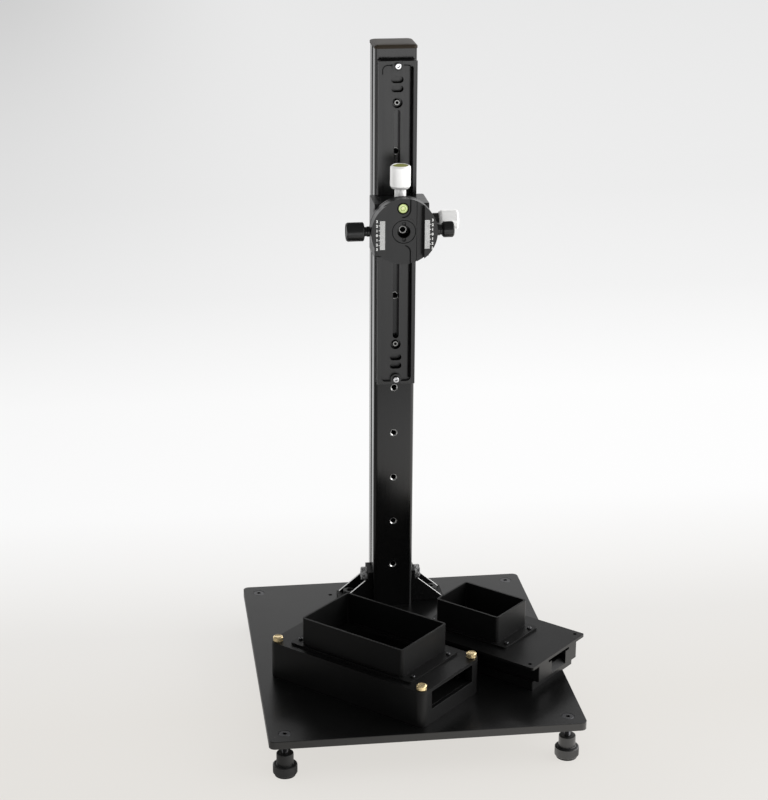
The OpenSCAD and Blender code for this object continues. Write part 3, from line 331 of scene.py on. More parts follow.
def zinc_and_painted_shade_finish():
    """Rough zinc on the upright bolts, and painted shade on the bolts in the brackets' feet, dark below 16
    mm.
    """
    finish = Finish("zinc_plate_and_painted_shade", Metallic=0.4)
    lumps = finish.noise(500, 3.0)
    # Painted shade: below 16 mm the bolts are coloured dark, where they sit in shade between the brackets'
    # cheeks.
    upper = finish.fade(finish.split(finish.place(), "Z"), 16 * MM, 17 * MM)
    tone = finish.blend(finish.fade(lumps, 0.4, 0.6), grey(0.10), grey(0.50))
    finish.colour(finish.blend(upper, grey(0.01), tone))
    finish.roughness(0.45 + (lumps - 0.5) * 0.2)
    finish.bump(lumps, 0.15 * MM)
    return finish.material


OWN_FINISH = {"bracket_bolts": zinc_and_painted_shade_finish(), "spindle_bolt": MATT, "rail_screws": MATT}


# Making pieces


def new_piece(name, shape, body, slot, material=None, sharp=35.0):
    """Turns a bmesh, in the frame's own place, into a finished piece on a body."""
    mesh = bpy.data.meshes.new(name)
    shape.to_mesh(mesh)
    shape.free()
    piece = bpy.data.objects.new(name, mesh)
    bpy.context.scene.collection.objects.link(piece)
    mesh.shade_smooth()
    mesh.set_sharp_from_angle(angle=math.radians(sharp))
    weights = piece.modifiers.new("even_normals", "WEIGHTED_NORMAL")
    weights.keep_sharp = True
    mesh.materials.append(material or FINISHES[slot])
    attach(piece, body)
    return piece


def merged_copy(node):
    """A node's mesh as one bmesh, its loose triangles merged and its flat faces whole."""
    shape = bmesh.new()
    shape.from_mesh(nodes[node].data)
    bmesh.ops.remove_doubles(shape, verts=shape.verts, dist=1e-6)
    bmesh.ops.dissolve_limit(
        shape, angle_limit=math.radians(0.5), verts=shape.verts, edges=shape.edges, delimit={"NORMAL"}
    )
    return shape


def round_edges(shape, edges, width, segments):
    bmesh.ops.bevel(
        shape, geom=edges, offset=width, offset_type="OFFSET", affect="EDGES", segments=segments,
        profile=0.5, material=-1, clamp_overlap=True,
    )


slot_of = {n: nodes[n].data.materials[0].name for n in nodes}
body_of = {n: nodes[n]["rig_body"] for n in nodes}


def eased(node, width, least=30.0):
    """A node's own shape with every edge that turns by more than an angle slightly rounded."""
    shape = merged_copy(node)
    angle = math.radians(least)
    edges = [e for e in shape.edges if e.is_manifold and e.calc_face_angle(0.0) > angle]
    round_edges(shape, edges, width, 2)
    piece = new_piece("fine_" + node, shape, body_of[node], slot_of[node], OWN_FINISH.get(node))
    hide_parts(node)
    return piece


def turned(outline, steps=64, closed=False):
    """A shape of revolution about +Z, from (height, radius) points."""
    shape = bmesh.new()
    points = [shape.verts.new((radius, 0, height)) for height, radius in outline]
    pairs = list(zip(points, points[1:]))
    if closed:
        pairs.append((points[-1], points[0]))
    edges = [shape.edges.new(pair) for pair in pairs]
    bmesh.ops.spin(
        shape, geom=points + edges, cent=(0, 0, 0), axis=(0, 0, 1), dvec=(0, 0, 0),
        angle=FULL_TURN, steps=steps, use_merge=True, use_duplicate=False,
    )
    bmesh.ops.remove_doubles(shape, verts=shape.verts, dist=1e-7)
    bmesh.ops.recalc_face_normals(shape, faces=shape.faces)
    return shape


def on_ring(vertex, radius, low, high):
    near = abs(vertex.co.xy.length - radius) < 1e-6
    return near and low - 1e-6 < vertex.co.z < high + 1e-6


def ring_outline(start, end, inner, outer):
    """The closed outline of a ring, between two heights and two radii."""
    return [(start, inner), (start, outer), (end, outer), (end, inner)]


def six_sided(shape, flats, low, high):
    """Moves the rings whose radius is half the flats onto a hexagon, between two heights."""
    for vertex in shape.verts:
        if on_ring(vertex, flats / 2, low, high):
            off_flat = math.atan2(vertex.co.y, vertex.co.x) % (math.pi / 3) - math.pi / 6
            vertex.co.xy = vertex.co.xy / math.cos(off_flat)


def knurl(shape, radius, low, high, depth, steps):
    """Presses every other point of a grid in: straight teeth on two rings, diamonds on more."""
    rings = sorted({round(v.co.z, 6) for v in shape.verts if on_ring(v, radius, low, high)})
    crossed = len(rings) > 2
    for vertex in shape.verts:
        if on_ring(vertex, radius, low, high):
            across = round(math.atan2(vertex.co.y, vertex.co.x) / FULL_TURN * steps)
            along = rings.index(round(vertex.co.z, 6)) if crossed else 0
            if (across + along) % 2:
                vertex.co.xy = vertex.co.xy * ((radius - depth) / radius)


def stand(shape, place, axis=(0, 0, 1)):
    """Moves a shape drawn along +Z to a place, along an axis."""
    turn = Vector((0, 0, 1)).rotation_difference(Vector(axis)).to_matrix().to_4x4()
    bmesh.ops.transform(shape, matrix=Matrix.Translation(place) @ turn, verts=shape.verts)
    return shape


def gather(shapes):
    """Puts several shapes into one."""
    whole = bmesh.new()
    for shape in shapes:
        mesh = bpy.data.meshes.new("part")
        shape.to_mesh(mesh)
        shape.free()
        whole.from_mesh(mesh)
        bpy.data.meshes.remove(mesh)
    return whole


def bar(low, high):
    """A small upright block between two corners."""
    shape = bmesh.new()
    bmesh.ops.create_cube(shape, size=1.0)
    bmesh.ops.scale(shape, verts=shape.verts, vec=Vector(high) - Vector(low))
    bmesh.ops.translate(shape, verts=shape.verts, vec=(Vector(low) + Vector(high)) / 2)
    return shape


def middle(node):
    low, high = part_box(node)
    return (low + high) / 2


# The nodes keep their own shapes, with finer edges

EDGES = {
    "base_plate": 0.5 * MM,
    "column": 0.25 * MM,
    "column_bolts": 0.15 * MM,
    "bracket_left": 0.7 * MM,
    "bracket_right": 0.7 * MM,
    "bracket_bolts": 0.4 * MM,
    "rail_plate": 0.25 * MM,
    "rail_screws": 0.25 * MM,
    "stop_screws": 0.35 * MM,
    "rail_clamp": 0.4 * MM,
    "cross_clamp": 0.4 * MM,
    "rail_jaw": 0.4 * MM,
    "cross_jaw": 0.4 * MM,
    "rail_knob": 0.35 * MM,
    "rail_knob_collar": 0.3 * MM,
    "cross_knob": 0.35 * MM,
    "cross_knob_cap": 0.2 * MM,
    "pan_base": 0.25 * MM,
    "spindle_cap": 0.2 * MM,
    "spindle_bolt": 0.3 * MM,
    "pan_disc": 0.2 * MM,
    "disc_jaw": 0.2 * MM,
    "bubble_cup": 0.15 * MM,
    "large_body": 0.4 * MM,
    "large_lid": 0.4 * MM,
    "large_gate": 0.3 * MM,
    "large_hood": 0.3 * MM,
    "large_hood_screws": 0.2 * MM,
    "small_base": 0.4 * MM,
    "small_block": 0.3 * MM,
    "small_top": 0.3 * MM,
    "small_hood": 0.3 * MM,
    "small_hood_screws": 0.2 * MM,
}

for node, piece in nodes.items():
    slot = slot_of[node]
    piece.data.materials.clear()
    piece.data.materials.append(FINISHES[slot])

for node, width in EDGES.items():
    eased(node, width)


# Levelling feet and the plate's screws

FEET = ["front_left", "front_right", "rear_left", "rear_right"]
FOOT_TEETH = 60
FOOT_KNURL = 0.30 * MM


def foot(name):
    """A turned foot: a smooth collar over a ring with a crossed knurl."""
    node = "foot_" + name
    low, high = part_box(node)
    ring_r = (high.x - low.x) / 2
    collar_r = 8.25 * MM
    ring_top = 10 * MM
    top = high.z - low.z
    rows = [1.4 * MM + step * 0.9 * MM for step in range(9)]
    outline = [(0, 0), (0, ring_r - 1.2 * MM), (0.3 * MM, ring_r - 0.7 * MM), (1.0 * MM, ring_r - 0.1 * MM)]
    outline += [(row, ring_r) for row in rows]
    outline += [
        (ring_top - 0.9 * MM, ring_r - 0.1 * MM), (ring_top - 0.3 * MM, ring_r - 0.7 * MM),
        (ring_top, ring_r - 1.4 * MM), (ring_top, collar_r + 0.3 * MM), (ring_top + 0.3 * MM, collar_r),
        (top - 0.9 * MM, collar_r), (top - 0.25 * MM, collar_r - 0.25 * MM), (top, collar_r - 0.9 * MM),
        (top, 3.1 * MM), (top - 2 * MM, 3.05 * MM), (top - 2 * MM, 0),
    ]
    shape = turned(outline, FOOT_TEETH * 2)
    knurl(shape, ring_r, rows[0], rows[-1], FOOT_KNURL, FOOT_TEETH * 2)
    centre = middle(node)
    place = (centre.x, centre.y, low.z)
    piece = new_piece("fine_" + node, stand(shape, place), body_of[node], "knob_black", FOOT_BLACK)
    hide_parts(node)


def plate_screw():
    """A sunk screw, its head's top at 0, with a hexagon socket and a threaded shank below."""
    head_r = 5.8 * MM
    shank_r = 3.0 * MM
    flats = 4 * MM
    socket_depth = -2.6 * MM
    end = -29.9 * MM
    pitch = 1.0 * MM
    outline = [(socket_depth, 0), (socket_depth, flats / 2), (0, flats / 2), (0, head_r - 0.2 * MM)]
    outline += [(-0.2 * MM, head_r), (-0.4 * MM, head_r), (-0.4 * MM - head_r + shank_r, shank_r)]
    height = -4.5 * MM
    while height - pitch > end:
        outline += [(height, shank_r), (height - 0.5 * pitch, shank_r - 0.32 * MM)]
        height -= pitch
    outline += [(end, shank_r - 0.5 * MM), (end, 0)]
    shape = turned(outline, 48)
    six_sided(shape, flats, socket_depth, 0)
    return shape


def plate_screws():
    shapes = []
    for name in FEET:
        centre = middle("foot_" + name)
        shapes.append(stand(plate_screw(), (centre.x, centre.y, -0.1 * MM)))
    piece = new_piece("plate_screws", gather(shapes), body_of["foot_studs"], "steel_dark")
    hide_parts("foot_studs")


for name in FEET:
    foot(name)
plate_screws()


# The column's cap, and bright linings that stand in for the bare rims of its tapped holes

HOLE_R = 2.5 * MM
HOLE_RIM_R = 3.5 * MM
HOLE_FIRST = 48.3 * MM
HOLE_PITCH = 50 * MM
# The holes that show through the rail's slot, counted from 0 at the bottom
SLOT_HOLES = (6, 9)
RIM_WIDTH = 0.15 * MM


def pillow_cap():
    """A moulded cap whose top swells to a low cushion."""
    low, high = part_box("column_cap")
    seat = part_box("column")[1].z
    side = 2.0 * MM
    shape = bar((low.x, low.y, seat), (high.x, high.y, seat + side))
    upright = [e for e in shape.edges if abs(e.verts[0].co.z - e.verts[1].co.z) > side / 2]
    round_edges(shape, upright, 4.6 * MM, 8)
    half = (high.x - low.x) / 2
    centre = (low + high) / 2
    rest = high.z - seat - side
    before = 1.0
    for inset, share in ((0.3, 0.30), (1.0, 0.55), (2.2, 0.74), (4.5, 0.88), (9.0, 0.97), (15.0, 1.0)):
        face = max(shape.faces, key=lambda each: each.calc_center_median().z)
        made = bmesh.ops.extrude_face_region(shape, geom=[face])
        bmesh.ops.delete(shape, geom=[face], context="FACES_ONLY")
        rim = [each for each in made["geom"] if isinstance(each, bmesh.types.BMVert)]
        size = (half - inset * MM) / half
        for vertex in rim:
            vertex.co.xy = centre.xy + (vertex.co.xy - centre.xy) * (size / before)
            vertex.co.z = seat + side + share * rest
        before = size
    piece = new_piece("pillow_cap", shape, body_of["column_cap"], "cap_plastic", sharp=62)
    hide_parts("column_cap")


def hole_rims():
    """A bright metal ring in the countersink of each hole that shows."""
    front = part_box("column")[0].y
    across = middle("column").x
    rail_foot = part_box("rail_plate")[0].z
    outer = HOLE_RIM_R + RIM_WIDTH
    outline = [
        (-0.85 * MM, HOLE_R + 0.08 * MM), (0.02 * MM, HOLE_RIM_R), (0.02 * MM, outer), (-0.04 * MM, outer),
        (-0.95 * MM, HOLE_R + 0.1 * MM),
    ]
    shapes = []
    below_rail = math.ceil((rail_foot - HOLE_FIRST) / HOLE_PITCH)
    for step in (*range(below_rail), *SLOT_HOLES):
        height = HOLE_FIRST + step * HOLE_PITCH
        shapes.append(stand(turned(outline, 32, closed=True), (across, front, height), (0, -1, 0)))
    new_piece("hole_rims", gather(shapes), body_of["column"], "column_black", BRIGHT_METAL)


pillow_cap()
hole_rims()


# Knobs of the camera clamp

KNOB_TEETH = 48
KNOB_RECESS = 0.6 * MM


def black_knob(node, axis, neck, neck_r):
    """A straight-knurled knob on a plain neck, along an axis from its seat."""
    low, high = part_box(node)
    radius = (high.z - low.z) / 2
    length = high.x - low.x
    start = neck + 1.5 * MM
    end = length - 1.3 * MM
    outline = [
        (0, 0), (0, neck_r - 0.4 * MM), (0.4 * MM, neck_r), (neck * 0.5, neck_r),
        (neck * 0.62, neck_r - 0.5 * MM), (neck - 0.6 * MM, neck_r - 0.5 * MM), (neck, neck_r + 0.5 * MM),
        (neck + 0.5 * MM, radius - 1.1 * MM), (neck + 1.0 * MM, radius - 0.35 * MM),
        (start, radius), (end, radius), (end + 0.4 * MM, radius - 0.35 * MM), (length, radius - 0.9 * MM),
        (length, radius - 1.7 * MM), (length - KNOB_RECESS, radius - 2.1 * MM), (length - KNOB_RECESS, 0),
    ]
    shape = turned(outline, KNOB_TEETH * 2)
    knurl(shape, radius, start, end, 0.22 * MM, KNOB_TEETH * 2)
    centre = middle(node)
    seat = (low.x if axis > 0 else high.x, centre.y, centre.z)
    piece = new_piece("fine_" + node, stand(shape, seat, (axis, 0, 0)), body_of[node], "knob_black")
    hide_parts(node)


black_knob("pan_knob", -1, 5.5 * MM, 5.1 * MM)
black_knob("jaw_knob", 1, 5.4 * MM, 5.9 * MM)


# Marks on the camera clamp's face

SCALE_LINES = 28
SCALE_LONG = 5
SCALE_STEP = 1.0 * MM
SCALE_DROP = 2.0 * MM
LINE_WIDTH = 0.55 * MM
LINE_THICK = 0.03 * MM
# How far a thin mark sinks into the surface that carries it
LINE_SINK = 0.01 * MM
LONG_LINE_MORE = 1.2 * MM
FIGURE_TALL = 3.5 * MM
FIGURES = "3210123"
FIGURE_STEP = 4.7 * MM


def figure(text, height):
    """One figure as a thin plate facing the front, its middle at the origin."""
    curve = bpy.data.curves.new("figure", "FONT")
    curve.body = text
    curve.size = height
    curve.extrude = LINE_THICK / 2
    curve.offset = 0.16 * MM
    curve.align_x = "CENTER"
    curve.align_y = "CENTER"
    holder = bpy.data.objects.new("figure", curve)
    mesh = bpy.data.meshes.new_from_object(holder)
    shape = bmesh.new()
    shape.from_mesh(mesh)
    bpy.data.objects.remove(holder)
    bpy.data.curves.remove(curve)
    bpy.data.meshes.remove(mesh)
    bmesh.ops.rotate(shape, verts=shape.verts, cent=(0, 0, 0), matrix=Matrix.Rotation(math.pi / 2, 3, "X"))
    return shape


def scale_marks(name, node, side, inner, outer, figures_at):
    """A ruled scale along the edge of the camera channel, with plain figures outside it."""
    head = middle("pan_base")
    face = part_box(node)[0].y
    middle_z = head.z - SCALE_DROP
    shapes = []
    for line in range(SCALE_LINES + 1):
        height = middle_z + (line - SCALE_LINES / 2) * SCALE_STEP
        reach = outer + (LONG_LINE_MORE if (line - SCALE_LINES / 2) % SCALE_LONG == 0 else 0.0)
        ends = sorted((head.x + side * inner, head.x + side * reach))
        shapes.append(bar((ends[0], face - LINE_THICK, height - LINE_WIDTH / 2),
                          (ends[1], face + LINE_SINK, height + LINE_WIDTH / 2)))
    for order, text in enumerate(FIGURES):
        shape = figure(text, FIGURE_TALL)
        height = middle_z + (3 - order) * FIGURE_STEP
        place = (head.x + side * figures_at, face - LINE_THICK / 2, height)
        bmesh.ops.translate(shape, verts=shape.verts, vec=place)
        shapes.append(shape)
    new_piece(name, gather(shapes), body_of[node], "clamp_black", PRINT_AND_HIGHLIGHT)


scale_marks("scale_left", "pan_disc", -1, 19.4 * MM, 24.5 * MM, 27.4 * MM)
scale_marks("scale_right", "disc_jaw", 1, 20.0 * MM, 25.0 * MM, 27.7 * MM)


# Drawn lines and shadows of the camera channel: thin shapes that stand in for edges and
# shade which the light alone doesn't show as the photograph does

DISC_R = 33 * MM
STEP_X = 6.4 * MM
STEP_WIDTH = 1.3 * MM
STEP_INSET = 0.4 * MM
UPPER_BEND_DROP = 1.2 * MM
UPPER_BEND_GAP = 0.3 * MM
LOWER_BEND_R = 6.4 * MM
LOWER_BEND_DROP = 20.4 * MM
WELL_R = 6.44 * MM
# How thick the painted shade in a well or slot is
PAINTED_SHADE_THICK = 0.06 * MM
SPANNER_AT = 8 * MM
SPANNER_R = 1.8 * MM
UNDERCUT_FROM = 17.7 * MM
UNDERCUT_TO = 19.9 * MM
UNDERCUT_REACH = 25 * MM


def strip(points, width, front, thick):
    """A flat band of a width along (x, z) points, facing the front."""
    shape = bmesh.new()
    sides = []
    for index, point in enumerate(points):
        before = Vector(points[max(index - 1, 0)])
        after = Vector(points[min(index + 1, len(points) - 1)])
        along = (after - before).normalized()
        off = Vector((-along.y, along.x)) * (width / 2)
        sides.append([shape.verts.new((point[0] + s * off.x, front, point[1] + s * off.y)) for s in (-1, 1)])
    for first, second in zip(sides, sides[1:]):
        shape.faces.new((first[0], first[1], second[1], second[0]))
    made = bmesh.ops.extrude_face_region(shape, geom=shape.faces[:])
    moved = [each for each in made["geom"] if isinstance(each, bmesh.types.BMVert)]
    bmesh.ops.translate(shape, verts=moved, vec=(0, -thick, 0))
    bmesh.ops.recalc_face_normals(shape, faces=shape.faces)
    return shape


def arc(centre, radius, first, last, steps=24):
    points = []
    for step in range(steps + 1):
        angle = math.radians(first + (last - first) * step / steps)
        points.append((centre[0] + radius * math.cos(angle), centre[1] + radius * math.sin(angle)))
    return points


def channel_step_shade():
    """Drawn dark lines of painted shade along the channel's step, above and below the spindle's cap."""
    head = middle("pan_base")
    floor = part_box("bubble_cup")[0].y
    bubble = middle("bubble_cup")
    edge_z = math.sqrt(DISC_R ** 2 - STEP_X ** 2) - STEP_INSET
    upper_r = STEP_X - (bubble.x - UPPER_BEND_GAP - head.x)
    upper = [(head.x + STEP_X, head.z + edge_z)]
    upper += arc((head.x + STEP_X - upper_r, bubble.z - UPPER_BEND_DROP), upper_r, 0, -95)
    lower = arc((head.x + STEP_X - LOWER_BEND_R, head.z - LOWER_BEND_DROP), LOWER_BEND_R, 78, 0)
    lower += [(head.x + STEP_X, head.z - edge_z)]
    shapes = [strip(points, STEP_WIDTH, floor, LINE_THICK) for points in (upper, lower)]
    new_piece("channel_step_shade", gather(shapes), body_of["pan_disc"], "clamp_black", MATT)


def scale_shadow():
    """A drawn shadow strip on the jaw, beside its ruled scale."""
    head = middle("pan_base")
    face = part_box("disc_jaw")[0].y
    shape = bar((head.x + UNDERCUT_FROM, face - LINE_THICK, head.z - UNDERCUT_REACH),
                (head.x + UNDERCUT_TO, face + LINE_SINK, head.z + UNDERCUT_REACH))
    new_piece("scale_shadow", shape, body_of["disc_jaw"], "clamp_black", MATT)


def painted_well_shade():
    """Painted shade in the spindle cap's well, and drawn rings round the sockets.

    The ring round the bolt's socket is a painted highlight, and those round the spanner holes are painted
    shade.
    """
    head_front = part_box("spindle_bolt")[0].y
    cap_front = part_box("spindle_cap")[0].y
    centre = middle("spindle_cap")
    wall = ring_outline(0.2 * MM, head_front - cap_front, WELL_R - PAINTED_SHADE_THICK, WELL_R)
    cap_well_shade = stand(turned(wall, 48, closed=True), (centre.x, cap_front, centre.z), (0, 1, 0))
    new_piece("painted_well_shade", cap_well_shade, body_of["spindle_cap"], "clamp_black", MATT)
    ring = ring_outline(0, 0.1 * MM, 2.8 * MM, 3.8 * MM)
    socket_highlight = stand(turned(ring, 48, closed=True), (centre.x, head_front - 0.05 * MM, centre.z), (0, 1, 0))
    new_piece("socket_painted_highlight", socket_highlight, body_of["spindle_bolt"], "steel_dark", PRINT_AND_HIGHLIGHT)
    rims = []
    rim = ring_outline(0, 0.05 * MM, SPANNER_R - 0.15 * MM, SPANNER_R + 0.25 * MM)
    for side in (-1, 1):
        place = (centre.x, cap_front - 0.02 * MM, centre.z + side * SPANNER_AT)
        rims.append(stand(turned(rim, 32, closed=True), place, (0, 1, 0)))
    new_piece("spanner_painted_shade", gather(rims), body_of["spindle_cap"], "clamp_black", MATT)


channel_step_shade()
scale_shadow()
painted_well_shade()


# Drawn shadows in the rail's pocket, its end slots and its screw holes, made the same way, and painted
# highlights round the rail screws' sockets

POCKET_T = 3.4 * MM
POCKET_HALF = 15.7 * MM
POCKET_REACH = 161.0 * MM
SHADE_WIDTH = 4.2 * MM
BORE_R = 5.2 * MM
POCKET_END = 164 * MM
POCKET_CORNER = 5 * MM
POCKET_DROP = 1.7 * MM
POCKET_SIDE_DROP = 1.0 * MM
POCKET_LINE = 0.9 * MM
STOP_BOSS_R = 5.6 * MM
END_SLOTS_AT = (139 * MM, 148 * MM)
END_SLOT_L = 12.2 * MM
END_SLOT_W = 6.6 * MM
END_SLOT_T = 9 * MM


def shade_finish(name, start, end):
    """A drawn shadow that deepens from left to right."""
    finish = Finish(name, Specular_IOR_Level=0.1)
    finish.shader.inputs["Base Color"].default_value = grey(0.004)
    across = finish.split(finish.place(), "X")
    finish.join(finish.fade(across, start, end, 0.0, 0.95), finish.shader.inputs["Alpha"])
    finish.roughness(0.8 + (finish.noise(600) - 0.5) * 0.1)
    return finish.material


def pocket_shade():
    """A drawn shadow on the pocket's floor, along its right wall."""
    low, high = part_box("rail_plate")
    centre = (low + high) / 2
    floor = low.y + POCKET_T
    right = centre.x + POCKET_HALF - 0.1 * MM
    shape = bar((right - SHADE_WIDTH, floor - LINE_THICK, centre.z - POCKET_REACH),
                (right, floor + LINE_SINK, centre.z + POCKET_REACH))
    shade = shade_finish("pocket_shade", right - SHADE_WIDTH, right - 0.45 * SHADE_WIDTH)
    new_piece("pocket_shade", shape, body_of["rail_plate"], "rail_black", shade)


def pocket_ends():
    """A drawn shadow under the pocket's upper rim, on both sides of the stop screw."""
    low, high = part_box("rail_plate")
    centre = (low + high) / 2
    floor = low.y + POCKET_T
    top = centre.z + POCKET_END - POCKET_DROP
    corner_x = POCKET_HALF - POCKET_CORNER - POCKET_SIDE_DROP
    shapes = []
    for side, last in ((-1, 180), (1, 0)):
        points = [(centre.x + side * STOP_BOSS_R, top)]
        points += arc((centre.x + side * corner_x, top - POCKET_CORNER), POCKET_CORNER, 90, last, 8)
        points.append((points[-1][0], top - POCKET_CORNER - 4 * MM))
        shapes.append(strip(points, POCKET_LINE, floor, LINE_THICK))
    new_piece("pocket_ends", gather(shapes), body_of["rail_plate"], "rail_black", MATT)


def end_slot_painted_shade():
    """Painted shade on the lower and right walls of the rail's blind end slots."""
    low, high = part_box("rail_plate")
    centre = (low + high) / 2
    floor = low.y + END_SLOT_T - 0.05 * MM
    radius = END_SLOT_W / 2 - PAINTED_SHADE_THICK
    reach = END_SLOT_L / 2 - END_SLOT_W / 2
    shapes = []
    for side in (-1, 1):
        for place in END_SLOTS_AT:
            height = centre.z + side * place
            points = [(centre.x - reach, height - radius)]
            points += arc((centre.x + reach, height), radius, -90, 70, 12)
            shapes.append(strip(points, PAINTED_SHADE_THICK, floor, END_SLOT_T - POCKET_T - 0.2 * MM))
    new_piece("end_slot_painted_shade", gather(shapes), body_of["rail_plate"], "rail_black", MATT)


def rail_well_painted_shade():
    """Painted shade in the wells of the rail's two screws, and a drawn grey rim round each socket as a
    painted highlight.
    """
    low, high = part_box("rail_screws")
    centre = middle("rail_screws")
    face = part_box("rail_plate")[0].y
    deep = low.y - face
    radius = BORE_R - 0.05 * MM
    screw_well_shades, rims = [], []
    half = (high.z - low.z) / 2 - (high.x - low.x) / 2
    for side in (-1, 1):
        height = centre.z + side * half
        wall = ring_outline(0.3 * MM, deep, radius - PAINTED_SHADE_THICK, radius)
        screw_well_shades.append(stand(turned(wall, 40, closed=True), (centre.x, face + POCKET_T, height), (0, 1, 0)))
        rim = ring_outline(0, 0.1 * MM, 1.6 * MM, 2.5 * MM)
        rims.append(stand(turned(rim, 40, closed=True), (centre.x, low.y - 0.05 * MM, height), (0, 1, 0)))
    new_piece("rail_well_painted_shade", gather(screw_well_shades), body_of["rail_plate"], "rail_black", MATT)
    new_piece("rail_screw_highlights", gather(rims), body_of["rail_screws"], "steel_dark", DULL_RIM)


pocket_shade()
pocket_ends()
end_slot_painted_shade()
rail_well_painted_shade()


# Painted highlights on the sloped edges of the column's brackets, drawn as thin pale strips

CHEEK_LEG = 36 * MM
CHEEK_FLAT = 7 * MM
CHEEK_LIP = 2.5 * MM
CHEEK_T = 3.2 * MM
CHEEK_TOP = 27 * MM
HIGHLIGHT_THICK = 0.05 * MM
HIGHLIGHT_INSET = 0.5 * MM


def painted_edge_highlights():
    """A pale line along the slope of each bracket's cheeks, a painted highlight."""
    column_low, column_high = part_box("column")
    for side, node in ((-1, "bracket_left"), (1, "bracket_right")):
        low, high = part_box(node)
        face = column_low.x if side < 0 else column_high.x
        slope = Vector((CHEEK_LEG - CHEEK_FLAT, CHEEK_LIP - CHEEK_TOP))
        across = Vector((-slope.y, slope.x)).normalized() * HIGHLIGHT_THICK
        shapes = []
        for y0 in (low.y, high.y - CHEEK_T):
            shape = bmesh.new()
            for lift in (0.0, 1.0):
                for share in (0.03, 0.97):
                    point = Vector((CHEEK_FLAT, CHEEK_TOP)) + slope * share + across * lift
                    for y in (y0 + HIGHLIGHT_INSET, y0 + CHEEK_T - HIGHLIGHT_INSET):
                        shape.verts.new((face + side * point.x, y, point.y))
            bmesh.ops.convex_hull(shape, input=shape.verts)
            shapes.append(shape)
        new_piece("worn_" + node, gather(shapes), body_of[node], "bracket_cast", EDGE_HIGHLIGHT)


painted_edge_highlights()


# The bubble level

def bubble_level():
    """A domed vial with a target ring and an air bubble, and a drawn dark ring of painted shade on its cup.
    """
    low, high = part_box("bubble_vial")
    radius = (high.x - low.x) / 2
    back = high.y
    deep = high.y - low.y
    centre = middle("bubble_vial")
    place = (centre.x, back, centre.z)
    dome = [
        (0, 0), (0, radius), (deep * 0.7, radius), (deep * 0.85, radius * 0.93),
        (deep * 0.95, radius * 0.75), (deep, radius * 0.45), (deep * 1.01, 0),
    ]
    body = body_of["bubble_vial"]
    vial = new_piece("vial", stand(turned(dome, 48), place, (0, -1, 0)), body, "bubble_fluid")
    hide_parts("bubble_vial")
    ring_r = radius * 0.5
    ring = ring_outline(deep * 0.98, deep * 1.04, ring_r - 0.14 * MM, ring_r + 0.14 * MM)
    new_piece("vial_ring", stand(turned(ring, 48, closed=True), place, (0, -1, 0)), body, "knob_black")
    cup_low, cup_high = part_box("bubble_cup")
    cup_r = (cup_high.x - cup_low.x) / 2
    rim = ring_outline(0, 0.04 * MM, radius - 0.1 * MM, cup_r + 0.3 * MM)
    rim_place = (centre.x, cup_low.y - 0.03 * MM, centre.z)
    rim_shape = stand(turned(rim, 48, closed=True), rim_place, (0, 1, 0))
    new_piece("cup_painted_shade", rim_shape, body_of["bubble_cup"], "bubble_rim", MATT)
    air = [
        (deep * 0.97, 0), (deep * 0.97, 1.5 * MM), (deep * 1.04, 1.35 * MM), (deep * 1.10, 0.8 * MM),
        (deep * 1.12, 0),
    ]
    air_place = (centre.x - 0.5 * MM, back, centre.z + 0.4 * MM)
    pale = plastic("air_bubble", (0.80, 0.84, 0.45, 1), 0.1)
    new_piece("air_bubble", stand(turned(air, 32), air_place, (0, -1, 0)), body, "bubble_fluid", pale)


bubble_level()


# Brass thumb nuts of the large carrier

NUT_TEETH = 20
NUT_KNURL = 0.28 * MM


def thumb_nut(node):
    """A toothed brass nut, chamfered at its top."""
    low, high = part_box(node)
    radius = (high.x - low.x) / 2
    tall = high.z - low.z
    teeth_low = 0.7 * MM
    teeth_high = tall - 1.3 * MM
    bore = 2.05 * MM
    outline = [
        (0, bore), (0, radius - 0.6 * MM), (0.5 * MM, radius - 0.05 * MM), (teeth_low, radius),
        (teeth_high, radius), (tall - 1.1 * MM, radius - 0.05 * MM), (tall - 0.5 * MM, radius - 0.5 * MM),
        (tall, radius - 1.6 * MM), (tall - 0.25 * MM, radius - 2.0 * MM), (tall - 0.25 * MM, 0), (0, 0),
    ]
    shape = turned(outline, NUT_TEETH * 2, closed=True)
    knurl(shape, radius, teeth_low, teeth_high, NUT_KNURL, NUT_TEETH * 2)
    centre = middle(node)
    piece = new_piece("fine_" + node, stand(shape, (centre.x, centre.y, low.z)), body_of[node], "nut_brass")
    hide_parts(node)


for name in FEET:
    thumb_nut("large_nut_" + name)


# Floor, backdrop and light

FLOOR_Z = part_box("pad_front_left")[0].z
FLOOR_SIZE = 30.0
# How light and how warm the floor looks at each y, from behind the camera to far behind
# the stand, set by the photograph
FLOOR_LEVELS = [
    (-3.00, 1.00, 0.0),
    (-0.90, 0.64, 0.0),
    (-0.60, 0.68, 0.0),
    (-0.30, 0.755, 0.030),
    (-0.05, 0.76, 0.030),
    (0.16, 0.80, 0.018),
    (0.30, 0.89, 0.010),
    (0.50, 0.99, 0.0),
    (0.92, 0.99, 0.0),
    (1.45, 0.89, 0.0),
    (2.15, 0.84, 0.0),
    (5.00, 0.80, 0.0),
]
FLOOR_FROM = -3.0
FLOOR_TO = 5.5
# Between these the floor in front of the stand brightens to a soft light of this strength
FRONT_GLOW_FROM = -1.0
FRONT_GLOW_TO = -1.8
FRONT_GLOW = 2.5
# How much of the floor near the stand glossy faces see, on its left and on its right
LEFT_DULL = 0.06
LEFT_SHARE = 0.3
RIGHT_SHARE = 2.15
# How much of the floor's look is its own glow, and the rest is lit by the room
GLOW_SHARE = 0.88


